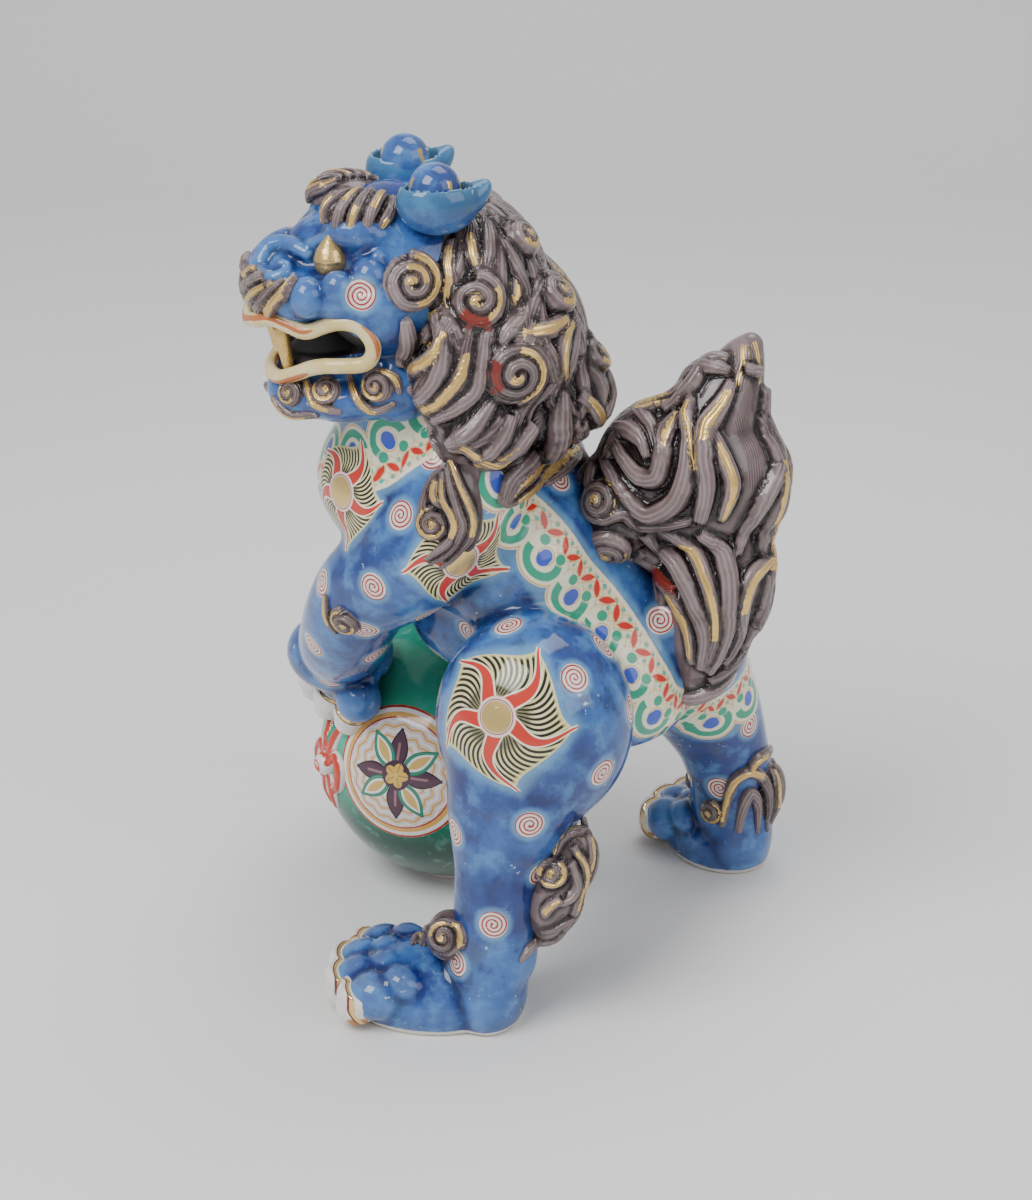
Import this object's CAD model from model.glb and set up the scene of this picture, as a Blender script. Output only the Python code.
import math

import bmesh
import bpy
import numpy as np
from mathutils import Matrix, Vector
from mathutils.bvhtree import BVHTree
from mathutils.kdtree import KDTree


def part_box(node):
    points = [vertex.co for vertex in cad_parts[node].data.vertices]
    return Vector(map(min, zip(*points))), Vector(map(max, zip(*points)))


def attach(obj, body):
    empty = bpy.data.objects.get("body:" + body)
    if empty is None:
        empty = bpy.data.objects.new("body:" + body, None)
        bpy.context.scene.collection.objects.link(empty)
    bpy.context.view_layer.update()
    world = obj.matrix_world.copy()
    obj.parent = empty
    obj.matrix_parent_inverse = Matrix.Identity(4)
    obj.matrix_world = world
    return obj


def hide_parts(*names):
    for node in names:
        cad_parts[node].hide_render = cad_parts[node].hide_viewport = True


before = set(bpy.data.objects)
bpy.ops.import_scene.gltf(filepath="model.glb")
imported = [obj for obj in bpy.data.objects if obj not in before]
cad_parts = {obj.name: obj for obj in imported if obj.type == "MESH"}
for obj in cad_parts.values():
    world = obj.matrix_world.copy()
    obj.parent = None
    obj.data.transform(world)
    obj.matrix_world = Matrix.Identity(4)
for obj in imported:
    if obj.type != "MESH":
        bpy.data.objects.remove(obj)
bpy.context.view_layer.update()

# The studio. The figure stands on a pale seamless sheet that runs up behind it, under two large soft lamps
# and a pale sky, and is seen with a long lens from its left and a little above.
MM = 0.001
BALL_MIDDLE = Vector((-26.0, -47.0, 50.0))       # where the ball stood when the sizes below were taken
ball_low, ball_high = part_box("ball")
home = (ball_low + ball_high) / 2 / MM - BALL_MIDDLE
to_home = Matrix.Scale(MM, 4) @ Matrix.Translation(home)
PHOTO_W, PHOTO_H = 1032, 1200
FOCUS = 2272.5                                   # lens length in pixels of the photograph
VIEW_TURN, VIEW_RISE = math.radians(105), math.radians(24)
AIM, DISTANCE = Vector((53, 0, 150)), 750.0
towards = Vector((math.sin(VIEW_TURN) * math.cos(VIEW_RISE), -math.cos(VIEW_TURN) * math.cos(VIEW_RISE),
                  math.sin(VIEW_RISE)))
rightwards = Vector((math.cos(VIEW_TURN), math.sin(VIEW_TURN), 0))
upwards = towards.cross(rightwards)
eye_point = AIM + towards * DISTANCE

lens = bpy.data.cameras.new("camera")
lens.sensor_width = 36.0
lens.lens = 36.0 * FOCUS / PHOTO_H
camera = bpy.data.objects.new("camera", lens)
camera.location = to_home @ eye_point
camera.rotation_euler = towards.to_track_quat("Z", "Y").to_euler()
bpy.context.scene.collection.objects.link(camera)
bpy.context.scene.camera = camera


FIGURE_MIDDLE = Vector((0, 0, 0.14))             # where every lamp looks


def lamp(name, azimuth, elevation, distance, size, watts):
    """A soft square lamp looking at the figure from so many degrees round and up."""
    a, e = math.radians(azimuth), math.radians(elevation)
    side = Vector((math.sin(a) * math.cos(e), -math.cos(a) * math.cos(e), math.sin(e)))
    light = bpy.data.lights.new(name, "AREA")
    light.shape = "SQUARE"
    light.size = size
    light.energy = watts
    stand = bpy.data.objects.new(name, light)
    stand.location = FIGURE_MIDDLE + side * distance
    stand.rotation_euler = side.to_track_quat("Z", "Y").to_euler()
    bpy.context.scene.collection.objects.link(stand)


lamp("window_lamp", 60, 50, 1.3, 0.7, 15)
lamp("fill_lamp", 160, 30, 1.6, 1.0, 7)
lamp("top_lamp", 250, 70, 1.4, 0.8, 8)
sky = bpy.data.worlds.new("pale_sky")
sky.use_nodes = True
sky.node_tree.nodes["Background"].inputs["Color"].default_value = (0.95, 0.97, 1.0, 1)
sky.node_tree.nodes["Background"].inputs["Strength"].default_value = 0.55
bpy.context.scene.world = sky

paper = bmesh.new()
SHEET_BACK, SHEET_BEND, SHEET_HALF, SHEET_TOP = 1.1, 0.5, 3.0, 3.0
run = [(SHEET_HALF, 0.0), (-SHEET_BACK, 0.0)]
run += [(-SHEET_BACK - SHEET_BEND * math.sin(k * math.pi / 16), SHEET_BEND * (1 - math.cos(k * math.pi / 16)))
        for k in range(1, 9)] + [(-SHEET_BACK - SHEET_BEND, SHEET_TOP)]
level = Vector((towards.x, towards.y, 0)).normalized()
rows = [[paper.verts.new(level * d + rightwards * s + Vector((0, 0, z))) for s in (-SHEET_HALF, SHEET_HALF)]
        for d, z in run]
for first, second in zip(rows, rows[1:]):
    paper.faces.new((first[0], first[1], second[1], second[0])).smooth = True
sheet_mesh = bpy.data.meshes.new("sheet")
paper.to_mesh(sheet_mesh)
paper.free()
sheet = bpy.data.objects.new("sheet", sheet_mesh)
bpy.context.scene.collection.objects.link(sheet)


class Ink:
    """A number on its way through a material, worked on with ordinary arithmetic."""

    def __init__(self, tree, socket):
        self.tree, self.socket = tree, socket

    def maths(self, operation, *others):
        node = self.tree.nodes.new("ShaderNodeMath")
        node.operation = operation
        for slot, value in zip(node.inputs, (self, *others)):
            if isinstance(value, Ink):
                self.tree.links.new(value.socket, slot)
            else:
                slot.default_value = value
        return Ink(self.tree, node.outputs[0])

    def __add__(self, other):
        return self.maths("ADD", other)

    def __sub__(self, other):
        return self.maths("SUBTRACT", other)

    def __mul__(self, other):
        return self.maths("MULTIPLY", other)

    def __truediv__(self, other):
        return self.maths("DIVIDE", other)

    def __rsub__(self, other):
        return (self * -1.0) + other

    def smaller(self, other):
        return self.maths("MINIMUM", other)

    def larger(self, other):
        return self.maths("MAXIMUM", other)

    def size(self):
        return self.maths("ABSOLUTE")

    def sine(self):
        return self.maths("SINE")

    def cosine(self):
        return self.maths("COSINE")

    def within(self, other):
        """The length of the two numbers taken as sides of a right angle."""
        return (self * self + other * other).maths("SQRT")

    def every(self, step):
        """The number counted again from -step/2 to step/2 in each stretch of that length."""
        return (self / step + 0.5).maths("FRACT") * step - step / 2

    def over(self, edge, soft):
        """0 below the edge and 1 above it, softened over a width."""
        node = self.tree.nodes.new("ShaderNodeMapRange")
        node.interpolation_type = "SMOOTHSTEP"
        self.tree.links.new(self.socket, node.inputs["Value"])
        for name, limit in (("From Min", edge - soft / 2), ("From Max", edge + soft / 2)):
            node.inputs[name].default_value = limit
        return Ink(self.tree, node.outputs["Result"])

    def under(self, edge, soft):
        return 1.0 - self.over(edge, soft)


def blended(tree, amount, below, above):
    """One colour laid over another where the amount says."""
    node = tree.nodes.new("ShaderNodeMix")
    node.data_type = "RGBA"
    tree.links.new(amount.socket, node.inputs["Factor"])
    for slot, colour in ((node.inputs["A"], below), (node.inputs["B"], above)):
        if isinstance(colour, tuple):
            slot.default_value = (*colour, 1.0)
        else:
            tree.links.new(colour, slot)
    return node.outputs["Result"]


def clouded(tree, scale, detail=4.0, rough=0.55, seed=0.0):
    """Cloudy noise through the solid piece, its scale in clouds a metre."""
    place = tree.nodes.new("ShaderNodeTexCoord").outputs["Object"]
    noise = tree.nodes.new("ShaderNodeTexNoise")
    noise.noise_dimensions = "4D"
    for name, value in (("Scale", scale), ("Detail", detail), ("Roughness", rough), ("W", seed)):
        noise.inputs[name].default_value = value
    tree.links.new(place, noise.inputs["Vector"])
    return Ink(tree, noise.outputs["Fac"])


def guide(tree, name):
    """The three numbers of one of the painter's guides kept on the mesh."""
    fetch = tree.nodes.new("ShaderNodeAttribute")
    fetch.attribute_name = name
    parts = tree.nodes.new("ShaderNodeSeparateXYZ")
    tree.links.new(fetch.outputs["Vector"], parts.inputs["Vector"])
    return [Ink(tree, parts.outputs[axis]) for axis in "XYZ"]


def pattern(name, takes, gives):
    """A shared effect: its node group, what it takes as numbers, and a way to put out colours and masks."""
    group = bpy.data.node_groups.new(name, "ShaderNodeTree")
    for word in takes:
        group.interface.new_socket(word, in_out="INPUT", socket_type="NodeSocketFloat")
    for word, kind in gives.items():
        group.interface.new_socket(word, in_out="OUTPUT", socket_type=kind)
    entry, out = group.nodes.new("NodeGroupInput"), group.nodes.new("NodeGroupOutput")

    def put(**results):
        for word, value in results.items():
            group.links.new(value.socket if isinstance(value, Ink) else value, out.inputs[word])

    return group, [Ink(group, entry.outputs[word]) for word in takes], put


COLOUR, NUMBER = "NodeSocketColor", "NodeSocketFloat"


def placed(tree, group, **values):
    """The shared effect set into a material, with its own values."""
    node = tree.nodes.new("ShaderNodeGroup")
    node.node_tree = group
    for word, value in values.items():
        tree.links.new(value.socket, node.inputs[word])
    return {o.name: (Ink(tree, o) if o.type == "VALUE" else o) for o in node.outputs}


BUMP_DEPTH = 0.0002                              # metres that a height of 1 stands up in a glaze


def coat(name):
    """A new material: itself, its tree, and a way to wire the shader's sockets."""
    material = bpy.data.materials.new(name)
    material.use_nodes = True
    tree = material.node_tree
    shader = tree.nodes["Principled BSDF"]

    def wear(colour, rough, metal=None, height=None):
        tree.links.new(colour, shader.inputs["Base Color"])
        tree.links.new(rough.socket, shader.inputs["Roughness"])
        if metal is not None:
            tree.links.new(metal.socket, shader.inputs["Metallic"])
        if height is not None:
            bump = tree.nodes.new("ShaderNodeBump")
            bump.inputs["Distance"].default_value = BUMP_DEPTH
            tree.links.new(height.socket, bump.inputs["Height"])
            tree.links.new(bump.outputs["Normal"], shader.inputs["Normal"])

    return material, tree, wear


material, tree, wear = coat("pale_paper")
fibre = clouded(tree, 3.0)
wear(blended(tree, fibre, (0.77, 0.765, 0.755), (0.82, 0.815, 0.81)), fibre * 0.1 + 0.55)
sheet.data.materials.append(material)

# Clay. Every piece starts as overlapping lumps and rolled ropes, worked into one skin and sponged smooth,
# in millimetres about the place where the sizes were taken; firing moves it home, in metres.
HEAD_X, HEAD_Y = 27.0, -41.5                     # the upright line that the head turns about
HEAD_TURN = 30.0                                 # degrees to its left


def head(t, l, z):
    """A point of the turned head: t forward along the nose, l to its left, z above the ground."""
    a = math.radians(HEAD_TURN)
    return Vector((HEAD_X + math.sin(a) * t + math.cos(a) * l, HEAD_Y - math.cos(a) * t + math.sin(a) * l, z))


def flow(points, steps=4):
    """A smooth run through the given points."""
    ends = [points[0], *points, points[-1]]
    out = []
    for a, b, c, d in zip(ends, ends[1:], ends[2:], ends[3:]):
        a, b, c, d = (Vector(p) for p in (a, b, c, d))
        for k in range(steps):
            s = k / steps
            out.append(0.5 * (2 * b + (c - a) * s + (2 * a - 5 * b + 4 * c - d) * s ** 2
                              + (3 * b - 3 * c + d - a) * s ** 3))
    return out + [Vector(points[-1])]


def spread(radii, count):
    """Radii spread evenly over so many points."""
    return np.interp(np.linspace(0, len(radii) - 1, count), range(len(radii)), radii)


def lump(clay, centre, radii, turn=0.0, lean=0.0):
    """A lump pressed to three radii, leant forward and then turned about the upright."""
    pose = Matrix.Rotation(math.radians(turn), 4, "Z") @ Matrix.Rotation(math.radians(lean), 4, "X")
    pinch = bmesh.new()
    bmesh.ops.create_uvsphere(pinch, u_segments=32, v_segments=20, radius=1.0,
                              matrix=Matrix.Translation(centre) @ pose @ Matrix.Diagonal((*radii, 1.0)))
    loose = bpy.data.meshes.new("lump")
    pinch.to_mesh(loose)
    pinch.free()
    clay.from_mesh(loose)
    bpy.data.meshes.remove(loose)


def head_lump(clay, t, l, z, radii, lean=0.0):
    """A lump of the head: radii are forward, sideways and up."""
    lump(clay, head(t, l, z), (radii[1], radii[0], radii[2]), turn=HEAD_TURN, lean=lean)


def rope(clay, points, radii, roundness=3):
    """A rolled rope of clay along a run of points, its thickness changing as the radii do."""
    curve = bpy.data.curves.new("rope", "CURVE")
    curve.dimensions = "3D"
    curve.bevel_depth = 1.0
    curve.bevel_resolution = roundness
    curve.use_fill_caps = True
    spline = curve.splines.new("POLY")
    spline.points.add(len(points) - 1)
    for knot, place, r in zip(spline.points, points, spread(radii, len(points))):
        knot.co = (*place, 1.0)
        knot.radius = r
    holder = bpy.data.objects.new("rope", curve)
    clay.from_mesh(bpy.data.meshes.new_from_object(holder))
    bpy.data.objects.remove(holder)
    bpy.data.curves.remove(curve)


def pressed(clay, grain, sponge, *cuts):
    """Works the clay into one skin of this grain, sponges it so many times, and scoops out the cuts."""
    mesh = bpy.data.meshes.new("clay")
    clay.to_mesh(mesh)
    clay.free()
    holder = bpy.data.objects.new("clay", mesh)
    bpy.context.scene.collection.objects.link(holder)
    skin = holder.modifiers.new("one skin", "REMESH")
    skin.mode = "VOXEL"
    skin.voxel_size = grain
    helpers = []
    for cut in cuts:
        scoop = bpy.data.meshes.new("scoop")
        cut.to_mesh(scoop)
        cut.free()
        tool = bpy.data.objects.new("scoop", scoop)
        bpy.context.scene.collection.objects.link(tool)
        helpers.append(tool)
        hollow = holder.modifiers.new("hollow", "BOOLEAN")
        hollow.operation, hollow.solver, hollow.object = "DIFFERENCE", "EXACT", tool
    if cuts:
        closed = holder.modifiers.new("one skin again", "REMESH")
        closed.mode = "VOXEL"
        closed.voxel_size = grain
    soft = holder.modifiers.new("sponged", "SMOOTH")
    soft.factor = 0.5
    soft.iterations = sponge
    bpy.context.view_layer.update()
    out = bpy.data.meshes.new_from_object(holder.evaluated_get(bpy.context.evaluated_depsgraph_get()))
    for old in (holder, *helpers):
        bpy.data.objects.remove(old)
    return out


def again(*meshes):
    """Worked pieces gathered back into one heap of clay."""
    heap = bmesh.new()
    for mesh in meshes:
        heap.from_mesh(mesh)
    return heap


def skin_of(*meshes):
    """The surface of worked pieces, for laying more clay along it or looking along a line at it."""
    points, faces = [], []
    for mesh in meshes:
        first = len(points)
        points += [v.co.copy() for v in mesh.vertices]
        faces += [[first + i for i in face.vertices] for face in mesh.polygons]
    return BVHTree.FromPolygons(points, faces)


SIGHT_NEAR, SIGHT_FAR, SIGHT_STEP = 650, 900, 4  # where a line of sight passes the figure, from the lens


def sighted(skin, px, py):
    """The place and facing of the clay at a point of the photograph, or nearest to that line of sight."""
    across, down = px - PHOTO_W / 2, py - PHOTO_H / 2
    ray = (-towards + rightwards * across / FOCUS - upwards * down / FOCUS).normalized()
    place, facing, _, _ = skin.ray_cast(eye_point, ray)
    if place is None:
        tries = [skin.find_nearest(eye_point + ray * s) for s in range(SIGHT_NEAR, SIGHT_FAR, SIGHT_STEP)]
        place, facing, _, _ = min(tries, key=lambda found: found[3])
    return place, facing


def corners(mesh):
    points = np.empty(len(mesh.vertices) * 3, np.float32)
    mesh.vertices.foreach_get("co", points)
    return points.reshape(-1, 3).astype(float)


def facings(mesh):
    normals = np.empty(len(mesh.vertices) * 3, np.float32)
    mesh.vertex_normals.foreach_get("vector", normals)
    return normals.reshape(-1, 3).astype(float)


def keep(mesh, name, values):
    """Keeps three numbers for each corner of the mesh, to guide the painting."""
    store = mesh.attributes.new(name, "FLOAT_VECTOR", "POINT")
    store.data.foreach_set("vector", np.ascontiguousarray(values, np.float32).ravel())


def relief(mesh, rounds=10):
    """How far each corner stands out from the clay around it, in millimetres: above 0 on ridges."""
    points, count = corners(mesh), len(mesh.vertices)
    ends = np.empty(len(mesh.edges) * 2, np.int32)
    mesh.edges.foreach_get("vertices", ends)
    a, b = ends.reshape(-1, 2).T
    shared = np.bincount(np.r_[a, b], minlength=count).clip(1)[:, None]
    soft = points.copy()
    for _ in range(rounds):
        sums = np.stack([np.bincount(np.r_[a, b], np.r_[soft[b, i], soft[a, i]], count) for i in range(3)], 1)
        soft = 0.5 * soft + 0.5 * sums / shared
    return ((points - soft) * facings(mesh)).sum(1)


def fired(name, mesh, material, slot, *nodes):
    """The finished piece at home, standing in for its nodes."""
    mesh.transform(to_home)
    mesh.materials.clear()
    mesh.materials.append(material)
    for face in mesh.polygons:
        face.use_smooth = True
        face.material_index = 0
    piece = bpy.data.objects.new(name, mesh)
    bpy.context.scene.collection.objects.link(piece)
    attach(piece, "root")
    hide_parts(*nodes)


# The lion's body: trunk, legs and feet are pressed in moulds, luted together and sponged until no seam shows.
# The rump is high, the forelegs come down on the ball, and the belly rests on top of it.
BALL_R = 50.0
THIGH_R, SHANK_R, FOREARM_R, TOE_R = 33.0, 15.5, 17.5, 8.6


def on_ball(azimuth, elevation, out=0.0):
    """A point of the ball, or so far out from it; azimuth 0 is the front and 90 the lion's left."""
    a, e = math.radians(azimuth), math.radians(elevation)
    r = BALL_R + out
    return BALL_MIDDLE + Vector((math.cos(e) * math.sin(a), -math.cos(e) * math.cos(a), math.sin(e))) * r


clay = bmesh.new()
SPINE = [(4, 26, 108), (5, 10, 128), (9, -12, 152), (14, -34, 177), (18, -37, 203), (21, -36, 224)]
rope(clay, flow(SPINE, 3), [30, 33, 36, 40, 34, 30], 5)
for centre, radii in (((4, 24, 106), (40, 31, 27)), ((2, -22, 127), (35, 31, 26)),
                      ((9, -8, 152), (43, 33, 34)), ((14, -38, 177), (44, 43, 31))):
    lump(clay, centre, radii)
trunk = pressed(clay, 2.0, 60)

LIMBS = [
    ([(46, 6, 112), (60, 4, 92), (66, 1, 74), (70, -1, 56), (72, -2, 38), (73, -4, 20)],
     [30, 27, 22, SHANK_R + 0.5, SHANK_R, SHANK_R + 2],
     [((55, 7, 108), (THIGH_R, THIGH_R + 1, 38)), ((74, -4, 10), (18, 14, 17))]),
    ([(-26, 30, 106), (-42, 38, 88), (-50, 46, 70), (-54, 53, 52), (-56, 57, 34), (-56, 58, 18)],
     [28, 26, 22, SHANK_R + 2.5, SHANK_R + 1, SHANK_R + 2],
     [((-38, 32, 102), (THIGH_R - 2, THIGH_R, 34)), ((-55, 60, 10), (18, 15, 16))]),
    ([(40, -22, 186), (49, -29, 170), (50, -39, 157), (44, -53, 146), (36, -63, 131),
      on_ball(64, 50, 35), on_ball(47.6, 48.7, 22)],
     [22, 21, FOREARM_R + 2, FOREARM_R + 1, FOREARM_R, FOREARM_R - 0.5, FOREARM_R - 2],
     [((41, -22, 185), (23, 24, 25))]),
    ([(-12, -24, 186), (-24, -32, 170), (-32, -42, 158), (-38, -53, 146), (-44, -62, 131),
      on_ball(-46.3, 64.3, 24), on_ball(-45, 55.2, 17)],
     [22, 21, FOREARM_R + 2, FOREARM_R + 1, FOREARM_R, FOREARM_R - 0.5, FOREARM_R - 2],
     [((-14, -24, 185), (23, 24, 25))]),
    ([(8, 34, 112), (9, 44, 124), (9, 50, 138)], [15, 13, 11], []),
]
limbs = []
for path, radii, muscles in LIMBS:
    clay = bmesh.new()
    rope(clay, flow(path, 4), radii, 5)
    for muscle in muscles:
        lump(clay, *muscle)
    limbs.append(pressed(clay, 1.8, 30))
body = pressed(again(trunk, *limbs), 1.6, 14)

clay = again(body)
# A hind foot has its side, the middle of its sole, its heading in degrees, and half its length and width.
HIND_FEET = [("left", (74.0, -26.0), 6.0, 30.0, 20.5), ("right", (-60.0, 52.0), -40.0, 24.0, 19.0)]
HIND_TOES = ((-1.45, 0.62), (-0.5, 0.78), (0.5, 0.74), (1.4, 0.52))


def on_sole(centre, heading, x, y, z):
    """A point of a hind foot: x to its left and y behind, turned to its heading."""
    a = math.radians(heading)
    return Vector((centre[0] + math.cos(a) * x - math.sin(a) * y,
                   centre[1] + math.sin(a) * x + math.cos(a) * y, z))


for _, centre, heading, length, width in HIND_FEET:
    lump(clay, on_sole(centre, heading, 0, 0, 7.65), (width, length, 17), turn=heading)
    for side, reach in HIND_TOES:
        x = side * TOE_R * 1.25
        lump(clay, on_sole(centre, heading, x, -length * reach, TOE_R * 1.45), (TOE_R, TOE_R * 1.15, TOE_R),
             turn=heading)
        lump(clay, on_sole(centre, heading, x * 0.9, -length * reach + 10, TOE_R * 2.05), (6.4, 7.6, 5.4),
             turn=heading, lean=-30)
LEFT_TOES = [(59.5, 37.7, 7.2), (45, 40.8, 9.7), (28.7, 41.3, 13.7), (14.3, 41.6, 14.8)]
RIGHT_TOES = [(-69, 38.7, 7.6), (-54.3, 38.4, 11.2), (-40, 38.1, 13.2), (-26, 39.3, 14.7)]
for paw, radii, toes in (((41.3, 48, 15.8), (18, 20, 15), LEFT_TOES),
                         ((-45, 52, 12), (18, 19, 14), RIGHT_TOES)):
    lump(clay, on_ball(*paw), radii)
    for azimuth, elevation, out in toes:
        lump(clay, on_ball(azimuth, elevation, out), (TOE_R,) * 3)
        lump(clay, on_ball(azimuth, elevation + 9, out + 3.5), (5.6,) * 3)
body = pressed(clay, 1.4, 5)
SOLE_LIFT = 0.3                                  # how far the soles keep above the floor


def stood(mesh):
    """Flattens whatever would reach below the soles."""
    for vertex in mesh.vertices:
        vertex.co.z = max(vertex.co.z, SOLE_LIFT)


stood(body)
body_skin = skin_of(body)

# Small enamel medallions are dotted over the blue. Those in the photograph are where it shows them, and the
# rest keep the same spacing. Each is a pale disc with a fine iron-red spiral.
SPOTS_SEEN = [(432, 455), (400, 515), (373, 587), (559, 478), (508, 625), (575, 678), (470, 632), (437, 692),
              (603, 773), (530, 825), (454, 832), (493, 925), (750, 725)]
SPOT_GAP, SPOT_R = 22.0, 5.0
FLOWERS_SEEN = [((496, 717), 25.5, 2.72), ((340, 492), 19.0, 0.4), ((462, 562), 19.0, 1.2)]
FAR_FLOWERS, FAR_REACH = ((-66, 30, 108), (-22, -64, 182), (-38, -12, 158)), 21.0
points, normals = corners(body), facings(body)
flowers = []
for (px, py), reach, turn in FLOWERS_SEEN:
    place, facing = sighted(body_skin, px, py)
    flowers.append((place, facing, reach, turn))
for twin in FAR_FLOWERS:
    place, facing, _, _ = body_skin.find_nearest(twin)
    flowers.append((place, facing, FAR_REACH, twin[1] * 0.3))
BAND_SEEN = [(506, 478), (521, 508), (544, 543), (568, 578), (595, 612), (621, 648), (646, 684)]
BAND_UNDER_TAIL = [(30, 47, 102), (6, 52, 88), (-24, 47, 76), (-50, 64, 84), (-64, 52, 100), (-62, 36, 118),
                   (-44, 20, 134), (-33, 4, 150), (-30, -6, 166), (-30, -8, 182), (-28, -8, 198)]
band = [sighted(body_skin, *p)[0] for p in BAND_SEEN]
band += [body_skin.find_nearest(p)[0] for p in BAND_UNDER_TAIL]
band = [body_skin.find_nearest(p)[0] for p in flow(band, 10)]
COLLAR = [(44, -10, 216), (51, -31, 206), (50, -50, 194), (40, -68, 189), (18, -80, 187), (-6, -74, 189),
          (-20, -55, 195), (-24, -31, 206), (-16, -8, 216)]
collar = [body_skin.find_nearest(p)[0] for p in flow(COLLAR, 8)]


def nearest_of(centres, mesh_points):
    """Which centre is nearest to each corner, and how far it is."""
    tree = KDTree(len(centres))
    for i, (place, *_) in enumerate(centres):
        tree.insert(place, i)
    tree.balance()
    found = [tree.find(p) for p in mesh_points]
    return np.array([f[1] for f in found]), np.array([f[2] for f in found])


def along(run, mesh_points, mesh_normals):
    """How far along a painted band each corner lies, how far across it, and how far from its middle line."""
    line = np.array([tuple(p) for p in run])
    steps = np.linalg.norm(np.diff(line, axis=0), axis=1)
    line = line[np.r_[True, steps > 0.2]]
    start = np.r_[0, np.cumsum(np.linalg.norm(np.diff(line, axis=0), axis=1))]
    near, _ = nearest_of([(p, None) for p in line], mesh_points)
    best, out = np.full(len(mesh_points), 1e9), np.zeros((len(mesh_points), 3))
    for first in (near - 1, near):
        first = first.clip(0, len(line) - 2)
        a, b = line[first], line[first + 1]
        step = np.linalg.norm(b - a, axis=1)
        way = (b - a) / step[:, None]
        t = ((mesh_points - a) * way).sum(1).clip(0, step)
        gap = mesh_points - a - t[:, None] * way
        far = np.linalg.norm(gap, axis=1)
        across = np.sign((gap * np.cross(mesh_normals, way)).sum(1)) * far
        nearer = far < best
        best[nearer] = far[nearer]
        out[nearer] = np.stack([start[first] + t, across, far], 1)[nearer]
    return out


band_lay, collar_lay = along(band, points, normals), along(collar, points, normals)
keep(body, "band", band_lay)
keep(body, "collar", collar_lay)
band_gap, collar_gap = band_lay[:, 2], collar_lay[:, 2]


def medallions(mesh, seen, keep_off, spacing=SPOT_GAP, seed=7):
    """Places medallions on the mesh: those seen, then more at the same spacing wherever they may go."""
    spots = [(Vector(place), Vector(facing)) for place, facing in seen]
    mesh_points, mesh_normals = corners(mesh), facings(mesh)
    order = np.random.default_rng(seed).permutation(len(mesh_points))
    free = ~keep_off
    for place, _ in spots:
        free &= np.linalg.norm(mesh_points - np.array(place), axis=1) > spacing
    for i in order:
        if free[i]:
            spots.append((Vector(mesh_points[i]), Vector(mesh_normals[i])))
            free &= np.linalg.norm(mesh_points - mesh_points[i], axis=1) > spacing
    return spots


SPOT_TURN = 2.4                                  # radians that each spiral is turned more than the last


def local(mesh, name, centres):
    """Keeps each corner's place about its nearest centre: two distances along the clay and a straight one."""
    mesh_points = corners(mesh)
    which, far = nearest_of(centres, mesh_points)
    frames = []
    for i, (place, facing, *rest) in enumerate(centres):
        turn = rest[1] if len(rest) > 1 else i * SPOT_TURN
        u = facing.orthogonal().normalized()
        u = Matrix.Rotation(turn, 3, facing) @ u
        frames.append((place, u, facing.cross(u)))
    table = np.array([[tuple(v) for v in f] for f in frames])
    gap = mesh_points - table[which, 0]
    u, v = (gap * table[which, 1]).sum(1), (gap * table[which, 2]).sum(1)
    flat = np.hypot(u, v).clip(1e-6)
    keep(mesh, name, np.stack([u / flat * far, v / flat * far, far], 1))
    return which


CLEAR_OF_BAND, CLEAR_OF_FLOWER, CLEAR_OF_BALL, PAW_TOP, MANE_HEM = 17, 28, 72, 26, 205
_, flower_gap = nearest_of(flowers, points)
_, ball_gap = nearest_of([(BALL_MIDDLE, None)], points)
keep_off = (band_gap < CLEAR_OF_BAND) | (collar_gap < CLEAR_OF_BAND) | (flower_gap < CLEAR_OF_FLOWER)
keep_off |= (points[:, 2] < PAW_TOP) | (points[:, 2] > MANE_HEM) | (ball_gap < CLEAR_OF_BALL)
spots = medallions(body, [sighted(body_skin, *p) for p in SPOTS_SEEN], keep_off)
local(body, "spot", spots)
which = local(body, "flower", flowers)
stands = relief(body)
keep(body, "shape", np.stack([stands, points[:, 2], np.array([f[2] for f in flowers])[which]], 1))

# The cobalt glaze: mid blue, drifting to deep ultramarine and pale cyan, with smoky purple stains and small
# worn specks. It thins to pale on ridges and pools dark in the grooves.
cobalt_glaze, (stand,), put = pattern("cobalt_glaze", ["Stand"],
                                      {"Colour": COLOUR, "Rough": NUMBER, "Height": NUMBER})
tree = cobalt_glaze
drift = clouded(tree, 34, 3.0, 0.5)
blotch = clouded(tree, 95, 4.0, 0.6, seed=3)
smoke = clouded(tree, 48, 4.0, 0.6, seed=9)
speck = clouded(tree, 420, 3.0, 0.6, seed=5)
blue = blended(tree, drift.over(0.50, 0.20), (0.010, 0.028, 0.190), (0.032, 0.118, 0.375))
blue = blended(tree, blotch.over(0.57, 0.16) * 0.65, blue, (0.085, 0.245, 0.520))
blue = blended(tree, blotch.under(0.42, 0.14) * 0.85, blue, (0.007, 0.012, 0.105))
blue = blended(tree, smoke.over(0.60, 0.10) * 0.7, blue, (0.045, 0.040, 0.100))
blue = blended(tree, stand.under(-0.10, 0.5) * 0.75, blue, (0.004, 0.007, 0.050))
blue = blended(tree, stand.over(0.14, 0.35) * 0.35, blue, (0.160, 0.320, 0.620))
worn = speck.over(0.66, 0.05) * smoke.over(0.55, 0.10)
blue = blended(tree, worn * 0.8, blue, (0.62, 0.72, 0.84))
put(Colour=blue, Rough=blotch * 0.05 + worn * 0.3 + 0.06, Height=blotch * 0.5 + worn * 0.4)

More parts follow.
